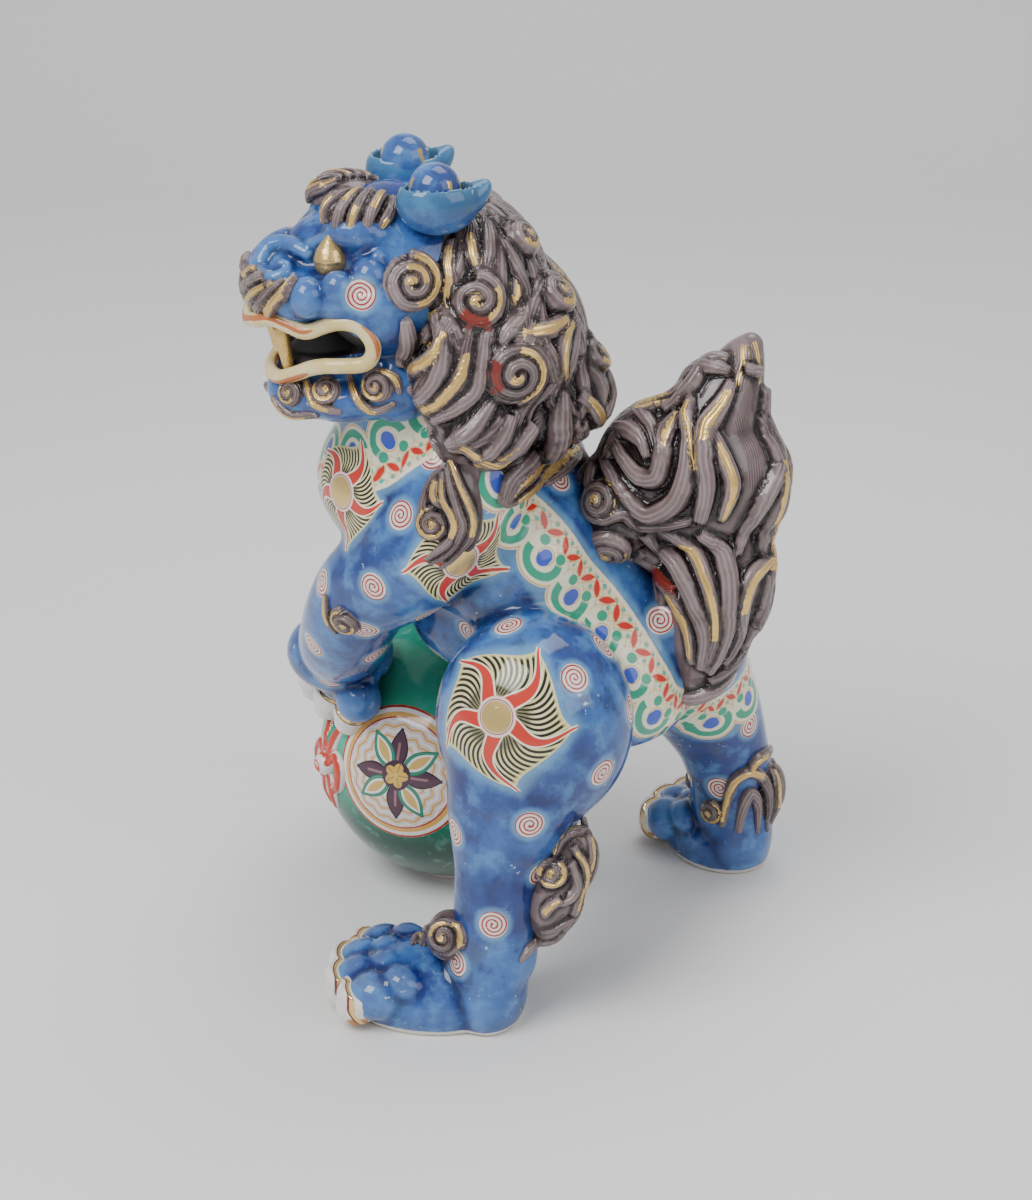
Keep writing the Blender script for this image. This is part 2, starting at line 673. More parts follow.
medallion, (u, v, gap), put = pattern("spiral_medallion", ["Across", "Up", "Gap"],
                                      {"Colour": COLOUR, "Cover": NUMBER, "Halo": NUMBER})
tree = medallion
turn = v.maths("ARCTAN2", u) / (2 * math.pi)
SPIRAL_PITCH = 1.42
wave = (gap / SPIRAL_PITCH - turn).maths("FRACT") - 0.5
line = wave.size().under(0.20, 0.12) * gap.over(0.35, 0.3)
disc = blended(tree, line, (0.74, 0.66, 0.62), (0.34, 0.030, 0.025))
put(Colour=disc, Cover=gap.under(SPOT_R, 0.35), Halo=gap.under(SPOT_R + 1.4, 2.6) * 0.6)

# An open flower is painted on each haunch, shoulder and flank. It has a gold boss ringed in pink, five
# curling iron-red arms, and a cream ground combed with fine black hairs that run out past its edge.
BOSS_R = 5.3
flower, (u, v, gap, reach), put = pattern("open_flower", ["Across", "Up", "Gap", "Reach"],
                                          {"Colour": COLOUR, "Cover": NUMBER, "Gold": NUMBER, "Halo": NUMBER})
tree = flower
out = gap / reach
ripple = ((out - 0.2) * 5.2).sine() * 0.24
angle = v.maths("ARCTAN2", u) + ripple
sector = angle.every(2 * math.pi / 5)
edge = (sector.size() - math.pi / 5).cosine()
rim = out * edge / math.cos(math.pi / 5)
hair = angle * 48 / (2 * math.pi)
hair_line = (hair.maths("FRACT") - 0.5).size().under(0.27, 0.12)
ragged = clouded(tree, 500, 2.0)
dark = hair_line * rim.under(0.96, 0.06) * out.over(0.27, 0.06)
dark = dark.larger(out.under(0.46, 0.16) * out.over(0.26, 0.04) * (ragged * 0.5 + 0.5))
cream = blended(tree, clouded(tree, 120).over(0.55, 0.3), (0.72, 0.66, 0.30), (0.80, 0.70, 0.42))
ground = blended(tree, dark, cream, (0.018, 0.018, 0.012))
arm_wide = (sector * gap).size()
arm_taper = (1.0 - out) * 2.9 + 0.35
arm = arm_wide - arm_taper
ground = blended(tree, arm.under(0.75, 0.3) * out.over(0.24, 0.02), ground, (0.85, 0.80, 0.62))
ground = blended(tree, arm.under(0.05, 0.25) * out.over(0.24, 0.02), ground, (0.56, 0.045, 0.03))
ground = blended(tree, gap.under(BOSS_R + 1.5, 0.25), ground, (0.84, 0.62, 0.56))
ground = blended(tree, (gap - BOSS_R - 0.45).size().under(0.16, 0.14), ground, (0.12, 0.03, 0.05))
ground = blended(tree, gap.under(BOSS_R, 0.2), ground, (0.78, 0.56, 0.22))
cover = rim.under(1.0, 0.015).larger(arm.under(0.7, 0.3) * out.under(1.04, 0.04))
put(Colour=ground, Cover=cover, Gold=gap.under(BOSS_R, 0.2), Halo=rim.under(1.12, 0.28) * 0.75)

# The brocade band runs down each flank from the mane and meets under the tail; a like one is the collar.
# Cloud scrolls with blue hearts hang along its lower edge, and red lozenges cross on a cream ground above.
BAND_HALF, CLOUD_PITCH = 11.0, 18.0
brocade, (far, across, gap), put = pattern("brocade_band", ["Along", "Across", "Gap"],
                                      {"Colour": COLOUR, "Cover": NUMBER, "Halo": NUMBER, "Gold": NUMBER})
tree = brocade
x = far.every(CLOUD_PITCH)
y = across + BAND_HALF
cloud_gap = (x * 0.85).within(y - 7.5)
cloud_turn = (y - 7.5).maths("ARCTAN2", x)
scallop = cloud_gap.under(8.9, 0.4).larger(y.over(9.0, 0.4))
cover = scallop * across.under(BAND_HALF, 0.3) * gap.under(BAND_HALF + 2.0, 0.5)
tone = clouded(tree, 90)
ground = blended(tree, tone.over(0.5, 0.3), (0.74, 0.66, 0.44), (0.80, 0.76, 0.60))
teal = (0.08, 0.40, 0.32)
dots = (x + 5.0).every(4.0).within((y + 0.6).every(4.0)).under(0.85, 0.5) * y.over(12.0, 1.0)
ground = blended(tree, dots, ground, teal)
lattice_u, lattice_v = (far + across).every(3.6), (far - across).every(3.6)
lattice = (lattice_u.size().smaller(lattice_v.size())).under(0.22, 0.2) * y.over(12.0, 1.0)
ground = blended(tree, lattice * 0.7, ground, (0.62, 0.34, 0.10))
almonds = []
for turned, start in ((1, 0.0), (-1, 5.4)):
    lay_x, lay_y = (far + start).every(10.8), y - 16.8
    long, wide = (lay_x + lay_y * turned) * 0.707, (lay_y - lay_x * turned) * 0.707
    almonds.append(wide.size() + long * long * 0.115)
leaf = almonds[0].smaller(almonds[1])
ground = blended(tree, (leaf - 1.35).size().under(0.12, 0.15), ground, (0.72, 0.36, 0.12))
ground = blended(tree, leaf.under(1.15, 0.2), ground, (0.56, 0.030, 0.018))
orange = (0.72, 0.36, 0.12)
ring = (cloud_gap - 5.6).size()
arc = ring.under(1.35, 0.4) * (cloud_turn + 1.45).size().under(1.95, 0.25)
curl_ends = (x.size() - 4.4).within(y - 12.2).under(1.9, 0.4)
ground = blended(tree, cloud_gap.under(8.4, 0.3) * y.under(12.5, 1.0), ground, (0.80, 0.78, 0.58))
ground = blended(tree, (cloud_gap - 8.3).size().under(0.22, 0.2) * y.under(11.0, 1.0), ground, orange)
ground = blended(tree, arc.larger(curl_ends), ground, (0.03, 0.33, 0.20))
heart = (x.within(y - 8.6) + (8.6 - y).larger(0.0) * -0.35).under(2.5, 0.5)
ground = blended(tree, (x.within(y - 8.6) - 3.1).size().under(0.2, 0.2), ground, orange)
ground = blended(tree, heart, ground, (0.04, 0.09, 0.50))
gilt = (across - BAND_HALF + 0.9).size().under(0.5, 0.2)
ground = blended(tree, gilt, ground, (0.82, 0.74, 0.55))
put(Colour=ground, Cover=cover, Halo=gap.under(BAND_HALF + 2.5, 3.0) * 0.6, Gold=gilt * 0.5)

material, tree, wear = coat("cobalt_body")
stand, height, reach = guide(tree, "shape")
base = placed(tree, cobalt_glaze, Stand=stand)
su, sv, sg = guide(tree, "spot")
spot = placed(tree, medallion, Across=su, Up=sv, Gap=sg)
fu, fv, fg = guide(tree, "flower")
bloom = placed(tree, flower, Across=fu, Up=fv, Gap=fg, Reach=reach)
bs, bc, bg = guide(tree, "band")
cloth = placed(tree, brocade, Along=bs, Across=bc, Gap=bg)
cs, cc, cg = guide(tree, "collar")
neck = placed(tree, brocade, Along=cs, Across=cc, Gap=cg)
halo = spot["Halo"].larger(bloom["Halo"]).larger(cloth["Halo"]).larger(neck["Halo"])
skin = blended(tree, halo * 0.8, base["Colour"], (0.20, 0.44, 0.68))
skin = blended(tree, spot["Cover"], skin, spot["Colour"])
skin = blended(tree, neck["Cover"], skin, neck["Colour"])
skin = blended(tree, cloth["Cover"], skin, cloth["Colour"])
skin = blended(tree, bloom["Cover"], skin, bloom["Colour"])
grit = clouded(tree, 260)
skin = blended(tree, (height + grit * 1.2).under(3.0, 0.8), skin, (0.74, 0.69, 0.60))
gold = bloom["Cover"] * bloom["Gold"]
wear(skin, base["Rough"] + gold * 0.18, gold * 0.75,
     base["Height"] + (cloth["Cover"].larger(bloom["Cover"]).larger(spot["Cover"])) * 0.8)
fired("body", body.copy(), material, "cobalt",
      "trunk", "foreleg_left", "foreleg_right", "hind_leg_left", "hind_leg_right", "tail_stem")

# The brocade ball is thrown on the wheel and stands on a small unglazed ring. It is painted emerald. Each of
# its four round white panels holds a flower of green and aubergine petals on gold chevrons.
BALL_FOOT_R = 17.0
PANEL_TURN, PANEL_RISE, PANEL_R = 82.5, 12.5, 30.0
BALL_WALL_END = math.pi - math.asin(0.36)        # where the wall meets the foot, as an angle from the top
rim = [(BALL_R * math.sin(a), BALL_R * math.cos(a)) for a in np.linspace(0, BALL_WALL_END, 90)]
rim += [(BALL_FOOT_R, -BALL_R + 1.2), (BALL_FOOT_R - 0.8, -BALL_R), (0.0, -BALL_R)]
clay = bmesh.new()
ROUND = 180
rings = [[clay.verts.new(BALL_MIDDLE + Vector((r * math.sin(a), -r * math.cos(a), z)))
          for a in np.linspace(0, 2 * math.pi, ROUND, endpoint=False)] for r, z in rim[1:-1]]
top, bottom = (clay.verts.new(BALL_MIDDLE + Vector((0, 0, z))) for z in (BALL_R, -BALL_R))
for first, second in zip(rings, rings[1:]):
    for k in range(ROUND):
        clay.faces.new((first[k], second[k], second[k - 1], first[k - 1]))
for k in range(ROUND):
    clay.faces.new((top, rings[0][k], rings[0][k - 1]))
    clay.faces.new((bottom, rings[-1][k - 1], rings[-1][k]))
bmesh.ops.recalc_face_normals(clay, faces=clay.faces)
ball = bpy.data.meshes.new("ball")
clay.to_mesh(ball)
clay.free()
points = corners(ball)
panels = []
for quarter in range(4):
    place = on_ball(PANEL_TURN + 90 * quarter, PANEL_RISE)
    panels.append((place, (place - BALL_MIDDLE).normalized()))
which, far = nearest_of(panels, points)
lay = np.zeros((len(points), 3))
for i, (place, facing) in enumerate(panels):
    mine = which == i
    rightward = Vector((0, 0, 1)).cross(facing).normalized()
    upward = facing.cross(rightward)
    out = (points[mine] - np.array(BALL_MIDDLE)) / BALL_R
    u, v = out @ np.array(rightward), out @ np.array(upward)
    flat = np.hypot(u, v).clip(1e-6)
    gap = np.degrees(np.arccos((out @ np.array(facing) / np.linalg.norm(out, axis=1)).clip(-1, 1)))
    lay[mine] = np.stack([u / flat * gap, v / flat * gap, gap], 1)
keep(ball, "panel", lay)
keep(ball, "globe", np.stack([points[:, 2] - 50.0, relief(ball, 3), points[:, 2]], 1))

panel, (u, v, gap), put = pattern("flower_panel", ["Across", "Up", "Gap"],
                                  {"Colour": COLOUR, "Cover": NUMBER})
tree = panel
turn = v.maths("ARCTAN2", u)
white, red, gold_line, violet = (0.78, 0.72, 0.66), (0.42, 0.03, 0.02), (0.62, 0.36, 0.10), (0.42, 0.30, 0.44)
zigzag = (turn.every(math.pi / 8).size()) * 9.0
chevron = (gap + zigzag).every(4.4).size()
ground = blended(tree, chevron.under(0.62, 0.3) * gap.over(12.0, 2.0), white, gold_line)
ground = blended(tree, (chevron - 1.2).size().under(0.16, 0.16) * gap.over(12.0, 2.0), ground, violet)
green_arm = (turn - 0.62).every(math.pi / 2)
plum_arm = turn.every(math.pi / 2)
for arm, long, wide, fill, line, vein in (
        (plum_arm, 19.5, 3.6, (0.075, 0.03, 0.055), (0.02, 0.01, 0.02), (0.30, 0.14, 0.16)),
        (green_arm, 20.5, 3.9, (0.80, 0.76, 0.70), (0.01, 0.16, 0.10), (0.62, 0.40, 0.10))):
    belly = ((gap - 3.0).larger(0.0).smaller(long - 3.0) * (math.pi / (long - 3.0))).sine().larger(0.0)
    side = (arm * gap).size() - belly * wide
    inside = side.under(0.0, 0.25) * gap.under(long, 0.3) * gap.over(3.0, 0.3)
    edge = side.under(0.75, 0.25) * gap.under(long + 0.7, 0.3) * gap.over(3.0, 0.3)
    ground = blended(tree, edge, ground, line)
    ground = blended(tree, inside, ground, fill)
    if arm is green_arm:
        ground = blended(tree, side.over(-0.95, 0.2) * inside, ground, (0.012, 0.230, 0.130))
        ground = blended(tree, side.under(-2.0, 0.3) * inside, ground, (0.62, 0.40, 0.12))
    rib = (arm * gap).size().under(0.55, 0.25) * gap.under(long * 0.72, 1.0) * gap.over(6.0, 0.5)
    ground = blended(tree, rib, ground, vein)
rosette = gap - ((turn * 2.5).cosine().size() * 1.9 + 3.6)
ground = blended(tree, gap.under(6.6, 0.3), ground, (0.06, 0.025, 0.045))
ground = blended(tree, rosette.under(0.0, 0.25), ground, (0.66, 0.42, 0.08))
petal_line = ((turn * 2.5).sine().size() * gap).under(0.35, 0.2) * gap.under(5.4, 0.3)
ground = blended(tree, petal_line, ground, (0.06, 0.025, 0.045))
ground = blended(tree, gap.under(1.4, 0.3), ground, (0.70, 0.46, 0.10))
for middle, half, colour in ((24.6, 0.35, red), (26.0, 0.95, (0.70, 0.40, 0.10)),
                             (27.9, 0.9, (0.82, 0.79, 0.76)), (29.4, 0.5, red)):
    ground = blended(tree, (gap - middle).size().under(half, 0.2), ground, colour)
put(Colour=ground, Cover=gap.under(PANEL_R, 0.25))

material, tree, wear = coat("emerald_ball")
rise, stand, height = guide(tree, "globe")
pu, pv, pg = guide(tree, "panel")
disc = placed(tree, panel, Across=pu, Up=pv, Gap=pg)
drift, fine = clouded(tree, 40), clouded(tree, 160, seed=2)
enamel = blended(tree, drift.over(0.5, 0.4), (0.015, 0.300, 0.160), (0.050, 0.460, 0.290))
enamel = blended(tree, rise.under(-8, 26), enamel, (0.004, 0.060, 0.040))
enamel = blended(tree, fine.over(0.62, 0.15) * 0.4, enamel, (0.14, 0.50, 0.36))
enamel = blended(tree, disc["Cover"], enamel, disc["Colour"])
enamel = blended(tree, (height + fine).under(2.6, 0.8), enamel, (0.70, 0.60, 0.54))
wear(enamel, fine * 0.05 + 0.07, None, fine * 0.4 + disc["Cover"] * 0.6)
fired("ball", ball, material, "green", "ball")


# Locks of hair are rolled ropes laid along the clay and combed. All are glazed mauve brown, dark between the
# locks, with gold brushed along some of them.
class Locks:
    """Ropes laid over a surface, each remembered for the painting of the skin made from them."""

    def __init__(self, skin, *base):
        self.skin, self.clay, self.samples = skin, again(*base), []

    def settle(self, point, lift):
        place, facing, _, _ = self.skin.find_nearest(Vector(point[:3]))
        return place + facing * lift, facing

    def lay(self, run, radii, gold=(), red=(), sink=0.05, steps=5):
        """Lays a rope through the points; gold and red are the stretches brushed with them, from 0 to 1."""
        smooth = flow([p[:3] for p in run], steps)
        lifts = spread([p[3] if len(p) > 3 else 0.0 for p in run], len(smooth))
        wide = spread(radii, len(smooth))
        placed_run = [self.settle(point, r * sink + lift) for point, lift, r in zip(smooth, lifts, wide)]
        self.remember(placed_run, wide, gold, red)
        rope(self.clay, [p for p, _ in placed_run], wide)

    def brush(self, run, wide, gold):
        """Remembers a stroke of the brush where no rope is laid."""
        self.remember([self.settle(p, 0.0) for p in flow(run, 5)], [wide] * (5 * len(run)), gold, ())

    def remember(self, placed_run, wide, gold, red):
        last, tone = len(placed_run) - 1, (len(self.samples) * 0.137) % 1.0
        for k, ((place, facing), r) in enumerate(zip(placed_run, wide)):
            way = placed_run[min(k + 1, last)][0] - placed_run[max(k - 1, 0)][0]
            s = k / max(last, 1)
            gilt = max([1.0 for a, b in gold if a <= s <= b], default=0.0)
            iron = max([1.0 for a, b in red if a <= s <= b], default=0.0)
            self.samples.append((*place, *facing, *way.normalized(), r, s, gilt, iron, tone))

    def snail(self, eye, start, radius, turns, hand, r, rise, gold=(), red=(), lift=0.0):
        """A snail curl: a rope wound in to its eye, standing up as it goes. start is where the winding
        begins, and lift is how high it stands on a pad over the skin."""
        middle, n = self.settle(eye, 0.0)
        u = (Vector(start) - n * Vector(start).dot(n)).normalized()
        around = [middle + (u * math.cos(k) + n.cross(u) * math.sin(k)) * radius * 0.7 for k in range(6)]
        n = sum((self.settle(p, 0)[1] for p in around), Vector()).normalized()
        u = (u - n * u.dot(n)).normalized()
        w = n.cross(u) * hand
        winding, wide = [], []
        for k in range(round(18 * turns) + 1):
            s = k / round(18 * turns)
            a = 2 * math.pi * turns * s
            reach = (radius - r) * (1 - s) ** 0.85 + 0.02
            place, _ = self.settle(middle + (u * math.cos(a) + w * math.sin(a)) * reach, r * 0.2)
            winding.append((place + n * (lift + rise * s), n))
            wide.append(r * (1.0 - 0.25 * s))
        self.remember(winding, wide, [*gold, (0.82, 1.0)], red)
        rope(self.clay, [p for p, _ in winding], wide)
        pad = [middle - n * r * 0.5, middle + n * (lift + r * 0.3)]
        rope(self.clay, pad, [radius * 0.88, radius * 0.80], 5)

    def combed(self, grain, sponge):
        """The finished skin, with each corner's place on its lock kept for the painting."""
        mesh = pressed(self.clay, grain, sponge)
        table = np.array(self.samples)
        tree = KDTree(len(table))
        for i, row in enumerate(table):
            tree.insert(row[:3], i)
        tree.balance()
        mesh_points = corners(mesh)
        near = np.array([tree.find(p)[1] for p in mesh_points])
        row = table[near]
        gap, r = mesh_points - row[:, :3], row[:, 9]
        across = (gap * np.cross(row[:, 3:6], row[:, 6:9])).sum(1) / r
        far = np.linalg.norm(gap, axis=1) / r
        on_lock = (far < 1.5).astype(float)
        keep(mesh, "lock", np.stack([far.clip(0, 3), across.clip(-2, 2), row[:, 10]], 1))
        keep(mesh, "gilt", np.stack([row[:, 11] * on_lock, row[:, 12] * on_lock, row[:, 13]], 1))
        keep(mesh, "shape", np.stack([relief(mesh, 6), mesh_points[:, 2], relief(mesh, 30)], 1))
        return mesh


hair_glaze, (stand, broad, off, across, run, gilt, iron, tone), put = pattern(
    "hair_glaze", ["Stand", "Broad", "Off", "Across", "Run", "Gilt", "Iron", "Tone"],
    {"Colour": COLOUR, "Rough": NUMBER, "Gold": NUMBER, "Height": NUMBER})
tree = hair_glaze
cloud, streak = clouded(tree, 60, 4.0), clouded(tree, 260, 3.0, seed=4)
waver = (run * 7 + tone * 9).sine() * 1.2
combed = (across * 12.5 + tone * 40 + (cloud - 0.5) * 6 + waver).sine() * off.under(1.45, 0.35)
ridge = stand + combed * 0.05
drift = (cloud + (tone - 0.5) * 0.4).over(0.5, 0.3)
base = blended(tree, drift, (0.085, 0.054, 0.056), (0.195, 0.140, 0.142))
base = blended(tree, combed.under(-0.2, 0.9) * (cloud * 0.6 + 0.04), base, (0.034, 0.019, 0.020))
pale = combed.over(0.4, 0.6) * (stand.over(-0.02, 0.2) * 0.2 + 0.06) * (streak + 0.4)
base = blended(tree, pale, base, (0.42, 0.34, 0.32))
base = blended(tree, stand.over(0.10, 0.25) * (cloud * 0.9 - 0.1), base, (0.40, 0.32, 0.31))
base = blended(tree, stand.under(-0.03, 0.22) * 0.95, base, (0.010, 0.005, 0.006))
base = blended(tree, broad.under(-0.5, 1.0) * 0.6, base, (0.014, 0.008, 0.009))
stroke = (across + (streak - 0.5) * 0.8).size().under(0.42, 0.25)
gold = (gilt * stroke * ridge.over(-0.06, 0.14)).over(0.4, 0.3)
base = blended(tree, gold, base, blended(tree, streak, (0.62, 0.36, 0.09), (0.88, 0.64, 0.26)))
base = blended(tree, iron * stand.over(-0.03, 0.12), base, (0.21, 0.026, 0.018))
put(Colour=base, Rough=cloud * 0.08 + gold * 0.18 + 0.06, Gold=gold, Height=combed * 0.5 + streak * 0.3)

hair, tree, wear = coat("combed_hair")
stand, _, broad = guide(tree, "shape")
off, across, run = guide(tree, "lock")
gilt, iron, tone = guide(tree, "gilt")
look = placed(tree, hair_glaze, Stand=stand, Broad=broad, Off=off, Across=across, Run=run,
              Gilt=gilt, Iron=iron, Tone=tone)
wear(look["Colour"], look["Rough"], look["Gold"] * 0.7, look["Height"])

# The head is one moulded form: a broad skull, round cheeks, a short muzzle over an open mouth, and a chin
# pushed forward. The nose is a bulb with a nostril coiled in on each side.
clay = bmesh.new()
for t, l, z, radii in ((5, 0, 250, (30, 32, 32)), (33, 0, 250, (22, 26, 11)), (22, 0, 262, (20, 17, 12)),
                       (38, 0, 256, (13, 10, 8)), (2, 0, 226, (20, 27, 22)), (22, 0, 215, (25, 26, 10.5)),
                       (36, 0, 215, (14, 18, 9.5)), (27, 0, 225, (17, 17, 8.5))):
    head_lump(clay, t, l, z, radii)
for side in (1, -1):
    for t, l, z, radii in ((14, 19, 246, (18, 14, 15)), (40, 14, 250, (10, 9, 8.5)),
                           (29, 21, 251, (9, 9, 8)), (20.5, 14.5, 270.5, (11, 10, 7)),
                           (10, 22, 220, (13, 9, 12)), (17, 27, 250, (9, 7, 8))):
        head_lump(clay, t, side * l, z, radii)
gape = bmesh.new()
head_lump(gape, 39, 0, 235.5, (30, 25, 6.5))
skull = pressed(clay, 1.2, 5, gape)
clay = again(skull)
head_lump(clay, 40, 0, 257, (10, 11, 7.5))
for side in (1, -1):
    head_lump(clay, 43, side * 7.5, 255.5, (7, 5.5, 6.5))
    for lid, radii in (
            ([(38, 15, 257), (31, 21, 256), (23, 24.5, 259), (16, 26, 266)], [1.6, 2.4, 2.4, 1.2]),
            ([(37, 10.5, 265), (30, 15, 268.5), (22, 20.5, 267), (17, 23, 263)], [1.4, 2.0, 2.0, 1.2])):
        rope(clay, flow([head(t, side * l, z) for t, l, z in lid], 4), radii)
muzzle = pressed(clay, 1.0, 4)
muzzle_skin = skin_of(muzzle)
clay = again(muzzle)


def head_twin(point):
    """The same place on the other side of the head."""
    gap = Vector(point[:3]) - head(0, 0, 0)
    ahead, beside = gap.dot(head(1, 0, 0) - head(0, 0, 0)), gap.dot(head(0, 1, 0) - head(0, 0, 0))
    return head(ahead, -beside, point[2])


def both(skin, run, twin_of=head_twin, out=0.0):
    """A run of points seen in the photograph, laid on the skin, and its twin on the other side."""
    seen = [sighted(skin, *p) for p in run]
    twin = [skin.find_nearest(twin_of(p))[:2] for p, _ in seen]
    return [[p + facing * out for p, facing in side] for side in (seen, twin)]


NOSTRIL = [(312, 257), (300, 249), (285, 245), (270, 249), (260, 260), (261, 272), (272, 279), (284, 275),
           (287, 266), (279, 263)]
for run in both(muzzle_skin, NOSTRIL, out=0.6):
    rope(clay, flow(run, 4), [1.6, 2.8, 3.2, 3.2, 3.0, 2.6, 2.0, 1.6, 1.4], 4)
for bulge, r in (((306, 296), 6.2), ((337, 284), 5.4), ((369, 277), 6.4)):
    for (place,) in both(muzzle_skin, [bulge], out=-2.6):
        lump(clay, place, (r, r, r * 1.1))
head_mesh = pressed(clay, 0.85, 3)
head_skin = skin_of(head_mesh)
points = corners(head_mesh)
pivot = head(0, 0, 0)
forward, leftward = (np.array(tuple(v)) for v in (head(1, 0, 0) - pivot, head(0, 1, 0) - pivot))
ahead, beside = (points - np.array(tuple(pivot))) @ forward, (points - np.array(tuple(pivot))) @ leftward
low = np.interp(ahead, (20, 22, 29.5, 38, 42, 46, 48), (236.5, 230.8, 229.8, 227.6, 224.6, 221.8, 221.2))
high = np.interp(ahead, (20, 23.5, 29, 34, 39.6, 44, 49, 54),
                 (236.5, 242.5, 244, 242.5, 240, 241.5, 243, 239.5))
wide = np.interp(ahead, (20, 23.5, 29, 34, 39, 44, 47, 50, 54), (30, 28.5, 26, 23, 20, 16, 12, 8, 0))
gullet = ((ahead - 39) / 30.5) ** 2 + (beside / 25.5) ** 2 + ((points[:, 2] - 235.5) / 7.1) ** 2
mouth_in = np.minimum.reduce([points[:, 2] - low, high - points[:, 2], wide - abs(beside), ahead - 19.5])
mouth_in = np.maximum(mouth_in, (1.2 - gullet) * 4)
keep(head_mesh, "shape", np.stack([relief(head_mesh), points[:, 2], mouth_in], 1))
local(head_mesh, "spot", [sighted(head_skin, 361, 295), head_skin.find_nearest(head(27, -26, 251))[:2]])

material, tree, wear = coat("cobalt_head")
stand, height, inside = guide(tree, "shape")
base = placed(tree, cobalt_glaze, Stand=stand)
su, sv, sg = guide(tree, "spot")
spot = placed(tree, medallion, Across=su, Up=sv, Gap=sg)
skin = blended(tree, spot["Halo"] * 0.8, base["Colour"], (0.20, 0.44, 0.68))
skin = blended(tree, spot["Cover"], skin, spot["Colour"])
skin = blended(tree, inside.over(-0.2, 0.4), skin, (0.010, 0.008, 0.010))
wear(skin, base["Rough"] + inside.over(-0.2, 0.4) * 0.5, None, base["Height"])
fired("head", head_mesh.copy(), material, "cobalt", "skull", "lower_jaw", "nose")

# The lip is one thick roll of clay all round the mouth, in cream enamel edged with a thin orange line; a gilt
# fang stands at each front corner.
LIP_R = 2.6
half = [(54.3, 0, 239.5), (52.5, 8, 241.5), (48.9, 13, 243), (44.2, 17, 241.5), (39.6, 20, 240),
        (34, 23, 242.5), (29.1, 26, 244), (23.5, 28.5, 242.5), (20, 30, 236.5), (22.2, 28.5, 230.8),
        (29.5, 26, 229.8), (34.5, 23, 229.2), (38.3, 19, 227.6), (42.4, 14, 224.6), (46.4, 8, 221.8),
        (47.8, 0, 221.2)]
ring = [head(*p) for p in half] + [head(t, -l, z) for t, l, z in reversed(half[1:-1])]
whole = flow([*ring, ring[0], ring[1]], 4)[:-4]
clay = bmesh.new()
rope(clay, whole, [LIP_R] * 4, 5)
lip = pressed(clay, 0.7, 2)
points = corners(lip)
line = np.array([tuple(p) for p in flow([*ring, ring[0], ring[1]], 40)[:-40]])
tree = KDTree(len(line))
for i, p in enumerate(line):
    tree.insert(p, i)
tree.balance()
near = line[[tree.find(p)[1] for p in points]]
out = (points - near) / LIP_R
mid = np.array(head(34, 0, 233))
away = near - mid
away /= np.linalg.norm(away, axis=1)[:, None]
keep(lip, "shape", np.stack([(out * away).sum(1), (out * facings(lip)).sum(1), out[:, 2]], 1))
material, tree, wear = coat("cream_lip")
outward, _, _ = guide(tree, "shape")
cloud, fine = clouded(tree, 90), clouded(tree, 400)
cream = blended(tree, cloud.over(0.5, 0.4), (0.70, 0.53, 0.21), (0.79, 0.68, 0.39))
cream = blended(tree, (outward + fine * 0.08 - 0.97).size().under(0.06, 0.05), cream, (0.50, 0.16, 0.05))
cream = blended(tree, (outward + fine * 0.1).under(-0.80, 0.1) * 0.8, cream, (0.40, 0.12, 0.05))
wear(cream, cloud * 0.06 + 0.08, None, fine * 0.3)
fired("lip", lip, material, "ivory", "lip")

material, tree, wear = coat("gilt_enamel")
cloud, fine = clouded(tree, 120), clouded(tree, 600)
wear(blended(tree, cloud.over(0.5, 0.5), (0.62, 0.40, 0.12), (0.82, 0.60, 0.26)), fine * 0.15 + 0.18,
     cloud.over(0.3, 0.3) * 0.75, fine)
for side, word in ((1, "left"), (-1, "right")):
    clay = bmesh.new()
    rope(clay, flow([head(46, side * 8.5, 239.5), head(45, side * 8.2, 233), head(43.5, side * 8, 224.5)]),
         [2.9, 2.6, 1.9])
    fired("fang_" + word, pressed(clay, 0.6, 2), material, "gold", "fang_" + word)
    clay = bmesh.new()
    head_lump(clay, 30.6, side * 17.0, 261.6, (5.2, 4.8, 5.4))
    rope(clay, [head(30.8, side * 17.2, 261.8), head(30.6, side * 16.8, 265.5), head(30.2, side * 16.2, 270)],
         [5.4, 4.2, 0.9], 5)
    eye = pressed(clay, 0.6, 1)
    fired("eye_" + word, eye, material, "gold", "eye_" + word)

